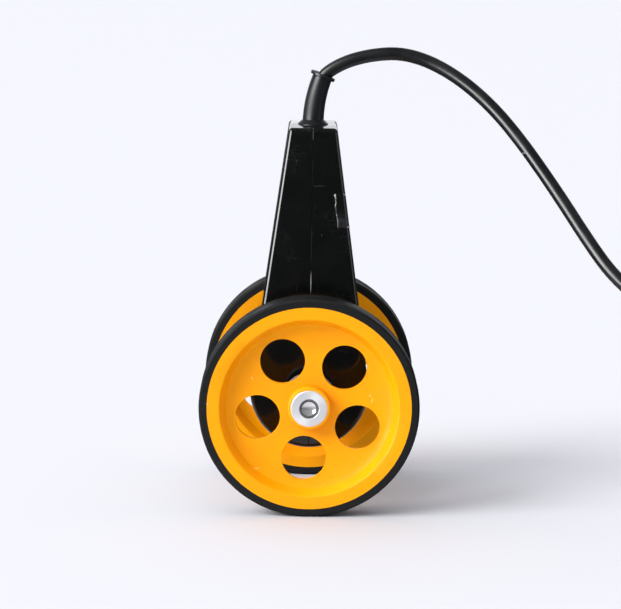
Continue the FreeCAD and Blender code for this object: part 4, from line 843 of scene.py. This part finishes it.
@dataclass(frozen=True)
class Studio:
    """A pale floor without an end, a key light from the left and a room that is dark behind the camera.

    Attributes:
        floor_colour: The floor's colour.
        floor_reach: Half the floor's width.
        floor_gap: How far the floor lies under the tyres.
        floor_roughness: The floor's roughness.
        floor_specular: The strength of the floor's plain reflection.
        room_colour: The colour of the dark room that reflections find past the lit floor.
        lit_range: The distances from the object between which reflections lose the lit floor.
        room_share: How much of the dark room they find past it.
        backdrop_colour: What the camera sees past the floor.
        sky_colour: The colour of the even light.
        sky_strength: Its strength at the sides.
        front_share: The part of it that comes from the camera's side.
        front_range: The directions along Y between which the front share ends.
        ceiling_share: How strong it is overhead, as a share of its strength at the sides.
        ceiling_range: The directions along Z between which the ceiling's share begins.
        left_lean: How much stronger the even light is on the left, and how much weaker on the right.
        glossy_share: The part of it that glossy surfaces reflect, which see dark flags all round but behind.
        flag_range: The directions along Y between which those flags end.
        back_glow: How much brighter it is low behind the object.
        back_range: The directions along Y between which the glow begins.
        low_range: The directions along Z between which the glow ends.
        key_turn: The key light's direction, in degrees left of the camera.
        key_rise: Its height, in degrees.
        key_spread: Its apparent width, in degrees.
        key_strength: Its strength.
        strip_place: The middle of the strip light that draws the bright left edges.
        strip_size: Its width and its height.
        strip_power: Its power.
        right_strip_place: The middle of the weaker one that draws the thin line down the right edge.
        right_strip_power: Its power.
    """

    floor_colour: Colour = (0.583, 0.585, 0.612)
    floor_reach: float = 40.0
    floor_gap: float = 0.02 * MM
    floor_roughness: float = 0.85
    floor_specular: float = 0.1
    room_colour: Colour = (0.01, 0.01, 0.011)
    lit_range: Range = (0.105, 0.18)
    room_share: float = 0.96
    backdrop_colour: Colour = (0.87, 0.88, 0.92)
    sky_colour: Colour = (0.95, 0.96, 1.0)
    sky_strength: float = 0.92
    front_share: float = 0.9
    front_range: Range = (-0.55, 0.1)
    ceiling_share: float = 1.5
    ceiling_range: Range = (0.4, 0.9)
    left_lean: float = 0.8
    glossy_share: float = 0.10
    flag_range: Range = (0.60, 0.90)
    back_glow: float = 0.40
    back_range: Range = (0.2, 0.95)
    low_range: Range = (0.1, 0.5)
    key_turn: float = 60.0
    key_rise: float = 33.0
    key_spread: float = 34.0
    key_strength: float = 3.0
    strip_place: Place = (-0.93, -0.73, 0.22)
    strip_size: tuple[float, float] = (0.80, 0.60)
    strip_power: float = 23.0
    right_strip_place: Place = (1.10, -0.46, 0.22)
    right_strip_power: float = 1.5

    def build(self) -> None:
        """Makes the floor, the sky and the lights."""
        self._make_floor()
        self._make_sky()
        self._make_key()
        self._make_strip("left_strip", self.strip_place, self.strip_power)
        self._make_strip("right_strip", self.right_strip_place, self.right_strip_power)
        view = bpy.context.scene.view_settings
        view.view_transform = "Standard"
        view.look = "None"

    def _make_floor(self) -> None:
        """Makes the floor just under the tyres."""
        mesh = bpy.data.meshes.new("floor")
        shape = bmesh.new()
        bmesh.ops.create_grid(shape, x_segments=1, y_segments=1, size=self.floor_reach)
        bmesh.ops.translate(shape, vec=(0, 0, -self.floor_gap), verts=shape.verts)
        shape.to_mesh(mesh)
        shape.free()
        floor = add_object("floor", mesh)
        settings = {"Roughness": self.floor_roughness, "Specular_IOR_Level": self.floor_specular}
        material, sheet, shader = start_material("pale_floor", **settings)
        away = sheet.add("VectorMath", operation="LENGTH")
        sheet.feed(away, "0", sheet.add("NewGeometry").outputs["Position"])
        far = sheet.spread(away.outputs["Value"], *self.lit_range, 0.0, self.room_share)
        hidden = sheet.product(far, sheet.add("LightPath").outputs["Is Glossy Ray"])
        sheet.feed(shader, "Base Color", sheet.blend(hidden, self.floor_colour, self.room_colour))
        mesh.materials.append(material)

    def _make_sky(self) -> None:
        """Makes the even light, brighter low behind the object as a lit backdrop is."""
        world = bpy.data.worlds.new("studio_sky")
        bpy.context.scene.world = world
        world.use_nodes = True
        world.node_tree.nodes.clear()
        sheet = Sheet(world.node_tree)
        direction = sheet.add("SeparateXYZ", Vector=sheet.add("TexCoord").outputs["Generated"])
        across, away, up = (direction.outputs[axis] for axis in "XYZ")
        ahead = sheet.spread(away, *self.front_range, self.front_share, 1.0)
        lean = sheet.maths("SUBTRACT", 1.0, sheet.product(across, self.left_lean))
        over = sheet.spread(up, *self.ceiling_range, 1.0, self.ceiling_share)
        even = sheet.product(ahead, lean, over)
        flagged = sheet.spread(away, *self.flag_range, self.glossy_share, 1.0)
        choice = sheet.add("Mix", data_type="FLOAT")
        sheet.feed(choice, "0", sheet.add("LightPath").outputs["Is Glossy Ray"])
        sheet.feed(choice, "2", even)
        sheet.feed(choice, "3", flagged)
        behind = sheet.spread(away, *self.back_range)
        low = sheet.spread(up, *self.low_range, 1.0, 0.0)
        glow = sheet.product(behind, low, self.back_glow)
        strength = sheet.maths("ADD", glow, sheet.product(choice.outputs["Result"], self.sky_strength))
        light = sheet.add("Background", Color=self.sky_colour, Strength=strength)
        backdrop = sheet.add("Background", Color=self.backdrop_colour, Strength=1.0)
        seen = sheet.add("MixShader")
        sheet.feed(seen, "0", sheet.add("LightPath").outputs["Is Camera Ray"])
        sheet.feed(seen, "1", light.outputs["Background"])
        sheet.feed(seen, "2", backdrop.outputs["Background"])
        sheet.feed(sheet.add("OutputWorld"), "Surface", seen.outputs["Shader"])

    def _make_key(self) -> None:
        """Makes the key light, a broad sun from the left."""
        data = bpy.data.lights.new("key_light", "SUN")
        data.energy = self.key_strength
        data.angle = math.radians(self.key_spread)
        turn, rise = map(math.radians, (self.key_turn, self.key_rise))
        source = Vector((-math.sin(turn) * math.cos(rise), -math.cos(turn) * math.cos(rise), math.sin(rise)))
        self._aim(add_object("key_light", data), source)

    def _make_strip(self, name: str, place: Place, power: float) -> None:
        """Makes a strip light, which only glossy surfaces reflect.

        Args:
            name: The light's name.
            place: Its middle.
            power: Its power.
        """
        data = bpy.data.lights.new(name, "AREA")
        data.shape = "RECTANGLE"
        data.size, data.size_y = self.strip_size
        data.energy = power
        strip = add_object(name, data)
        strip.location = place
        strip.visible_camera = False
        strip.visible_diffuse = False
        self._aim(strip, Vector((place[0], place[1], 0)))

    @staticmethod
    def _aim(light: Object, source: Vector) -> None:
        """Turns a light so that it shines from a direction, upright.

        Args:
            light: The light.
            source: The direction that its light comes from.
        """
        light.rotation_mode = "QUATERNION"
        light.rotation_quaternion = source.to_track_quat("Z", "Y")


# The free cable's points in millimetres, from the boot to the coil.
CABLE_ROUTE: tuple[Place, ...] = (
    (7.2, 0.0, 190.4), (15.4, 0.0, 194.7), (26.1, 0.0, 197.4), (38.5, 0.0, 198.3), (51.9, -2.1, 194.6),
    (65.8, -7.4, 186.7), (79.0, -14.2, 175.5), (91.0, -21.8, 161.6), (105.0, -32.1, 142.4),
    (119.2, -44.1, 121.0), (128.4, -52.5, 108.8), (139.6, -59.4, 99.4), (151.5, -64.0, 86.8),
    (163.5, -66.6, 70.6), (175.5, -67.3, 53.6), (187.0, -67.2, 37.2), (197.8, -66.9, 25.0),
    (207.8, -66.6, 15.9), (218.2, -66.3, 9.3), (229.0, -66.1, 5.1),
)


@dataclass(frozen=True)
class SignalCable:
    """The free cable, from the boot over to the floor and into its stored coil.

    Attributes:
        diameter: The sheath's diameter.
        bend: The boot's whole bend in degrees.
        bend_length: The length over which the boot bends.
        release: How far inside the boot's mouth the cable runs free.
        top: The height of the handle's top.
        first_run: The straight length inside the boot's mouth.
        last_run: The straight length before the coil.
        coil_centre: The coil's middle on the floor.
        coil_radius: The radius of its outer turn.
        coil_pitch: The step between turns and between layers.
        layer_turns: The turns of one layer.
        climb_turns: The turns over which it climbs.
        lead_out: The straight length before the plug.
        turn_points: The points of one turn.
        length: The cable's real free length.
    """

    diameter: float = 5.8 * MM
    bend: float = 22.0
    bend_length: float = 22.6 * MM
    release: float = 5.0 * MM
    top: float = 166.4 * MM
    first_run: float = 3.2 * MM
    last_run: float = 10.8 * MM
    coil_centre: tuple[float, float] = (255.0 * MM, -25.4 * MM)
    coil_radius: float = 40.6 * MM
    coil_pitch: float = 6.3 * MM
    layer_turns: int = 3
    climb_turns: float = 0.5
    lead_out: float = 28.0 * MM
    turn_points: int = 20
    length: float = 1.63

    def exit_point(self) -> tuple[Vector, Vector]:
        """Finds where the cable runs free inside the boot.

        Returns:
            The point and the direction there.
        """
        radius = self.bend_length / math.radians(self.bend)
        turn = math.radians(self.bend) * (1 - self.release / self.bend_length)
        place = Vector((radius * (1 - math.cos(turn)), 0, self.top + radius * math.sin(turn)))
        return place, Vector((math.sin(turn), 0, math.cos(turn)))

    def coil_points(self) -> list[Vector]:
        """Winds the coil: in along the floor, up a layer and out again.

        Returns:
            The points of its centreline.
        """
        turns = self.layer_turns * 2 + self.climb_turns
        reversal = turns / 2
        steps = round(turns * self.turn_points)
        points = []
        for step in range(steps + 1):
            turn = turns * step / steps
            climb = min(max((turn - self.layer_turns) / self.climb_turns, 0), 1)
            height = self.diameter / 2 + self.coil_pitch * climb**2 * (3 - 2 * climb)
            radius = self.coil_radius - self.coil_pitch * (reversal - abs(turn - reversal))
            angle = 2 * math.pi * turn - math.pi / 2
            across = self.coil_centre[0] + radius * math.cos(angle)
            away = self.coil_centre[1] + radius * math.sin(angle)
            points.append(Vector((across, away, height)))
        return points

    def points(self) -> list[Vector]:
        """Gathers the whole route.

        Returns:
            The control points from the boot to the plug.
        """
        start, direction = self.exit_point()
        coil = self.coil_points()
        coil_start = coil[0] - Vector((self.diameter, 0, 0))
        end = coil[-1] - Vector((self.lead_out, 0, 0))
        free = [Vector(place) * MM for place in CABLE_ROUTE]
        before = coil_start - Vector((self.last_run, 0, 0))
        middle = (coil[-1] + end) / 2
        return [start, start + direction * self.first_run, *free, before, coil_start, *coil, middle, end]

    def build(self, material: Material) -> None:
        """Args:
            material: The sheath's material.
        """
        points = self.points()
        data = bpy.data.curves.new("signal_cable", "CURVE")
        data.dimensions = "3D"
        data.bevel_depth = self.diameter / 2
        data.bevel_resolution = 10
        data.resolution_u = 6
        data.use_fill_caps = True
        data.twist_mode = "MINIMUM"
        spline = data.splines.new("NURBS")
        spline.points.add(len(points) - 1)
        for point, place in zip(spline.points, points):
            point.co = (*place, 1.0)
        spline.order_u = 3
        spline.use_endpoint_u = True
        data.materials.append(material)
        cable = add_object("signal_cable", data)
        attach(cable, HOUSING)
        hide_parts("cord", "cord_coil")
        LOG.info("made %s, %.3f m long", cable.name, self.length)


@dataclass(frozen=True)
class WornPatch:
    """A blank worn patch that wraps the handle's right front corner.

    Attributes:
        low: The height of its lower end.
        high: The height of its upper end.
        front_width: Its width on the handle's front.
        side_width: Its width on the handle's side.
        thickness: How far it stands off the shell.
        film_share: The film's own thickness, as a share of that.
        corner: The radius of the handle's edge.
        taper: The lean of the handle's side, in degrees.
        drum_radius: The radius of the handle's drum.
        drum_centre: The height of the drum's centre.
        front_steps: The faces across its front part.
        corner_steps: The faces round the corner.
        side_steps: The faces across its side part.
        rows: The faces up it.
    """

    low: float = 123.0 * MM
    high: float = 137.9 * MM
    front_width: float = 5.2 * MM
    side_width: float = 9.0 * MM
    thickness: float = 0.06 * MM
    film_share: float = 0.8
    corner: float = 2.0 * MM
    taper: float = 7.8
    drum_radius: float = 26.2 * MM
    drum_centre: float = 50.75 * MM
    front_steps: int = 4
    corner_steps: int = 8
    side_steps: int = 6
    rows: int = 12

    def build(self, material: Material) -> None:
        """Bends a strip round the corner and stretches it up the slanting edge.

        Args:
            material: The patch's material.
        """
        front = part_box("right_shell")[0][1] - self.thickness
        lean = math.radians(self.taper)
        width = (self.drum_radius - (self.low - self.drum_centre) * math.sin(lean)) / math.cos(lean)
        inner = width - self.corner
        shape = bmesh.new()
        start = shape.verts.new((width - self.front_width, front, self.low))
        tip = self._lengthen(shape, start, Vector((inner - start.co.x, 0, 0)), self.front_steps)
        pivot = (inner, front + self.corner + self.thickness, self.low)
        bend = bmesh.ops.spin(
            shape, geom=[tip], cent=pivot, axis=(0, 0, 1), angle=math.pi / 2, steps=self.corner_steps
        )
        tip = next(part for part in bend["geom_last"] if isinstance(part, BMVert))
        self._lengthen(shape, tip, Vector((0, self.side_width - self.corner, 0)), self.side_steps)
        rise = (self.high - self.low) / self.rows
        rows = [self._in_order(shape.verts)]
        for _ in range(self.rows):
            edges = [edge for edge in shape.edges if all(vert in rows[-1] for vert in edge.verts)]
            grown = bmesh.ops.extrude_edge_only(shape, edges=edges)["geom"]
            verts = [part for part in grown if isinstance(part, BMVert)]
            shift = Vector((-math.tan(lean) * rise, 0, rise))
            bmesh.ops.translate(shape, vec=shift, verts=verts)
            rows.append(self._in_order(verts))
        self._unwrap(shape, rows)
        bmesh.ops.recalc_face_normals(shape, faces=shape.faces)
        mesh = bpy.data.meshes.new("worn_patch")
        shape.to_mesh(mesh)
        shape.free()
        mesh.polygons.foreach_set("use_smooth", [True] * len(mesh.polygons))
        mesh.materials.append(material)
        piece = add_object("worn_patch", mesh)
        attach(piece, HOUSING)
        thick = piece.modifiers.new("film", "SOLIDIFY")
        thick.thickness = self.thickness * self.film_share
        thick.offset = -1

    @staticmethod
    def _in_order(verts: list[BMVert]) -> list[BMVert]:
        """Sorts a row's vertices from the front's end to the side's end."""
        return sorted(verts, key=lambda vert: (vert.co.y, vert.co.x))

    @staticmethod
    def _lengthen(shape: BMesh, tip: BMVert, way: Vector, steps: int) -> BMVert:
        """Grows a line of edges from a vertex.

        Args:
            shape: The mesh being built.
            tip: The vertex to start from.
            way: The whole way to go.
            steps: The number of edges.

        Returns:
            The last vertex.
        """
        for _ in range(steps):
            grown = bmesh.ops.extrude_vert_indiv(shape, verts=[tip])
            tip = grown["verts"][0]
            bmesh.ops.translate(shape, vec=way / steps, verts=[tip])
        return tip

    @staticmethod
    def _unwrap(shape: BMesh, rows: list[list[BMVert]]) -> None:
        """Gives the strip a UV map: across it, and up it.

        Args:
            shape: The mesh being built.
            rows: Its vertices in rows from the lower end up.
        """
        across = {}
        for up, row in enumerate(rows):
            for along, vert in enumerate(row):
                across[vert] = (along / (len(row) - 1), up / (len(rows) - 1))
        layer = shape.loops.layers.uv.new("patch")
        for face in shape.faces:
            for loop in face.loops:
                loop[layer].uv = across[loop.vert]


def main() -> None:
    """Builds the camera, the cable, the finishes, the pieces and the studio, in that order."""
    logging.basicConfig(level=logging.INFO, format="%(name)s: %(message)s")
    PhotoCamera().place()
    finishes = make_finishes()
    SignalCable().build(finishes["cable_sheath"])
    CadDresser(finishes).dress_all()
    WornPatch().build(finishes["blank_worn_patch"])
    Studio().build()


if __name__ == "__main__":
    main()
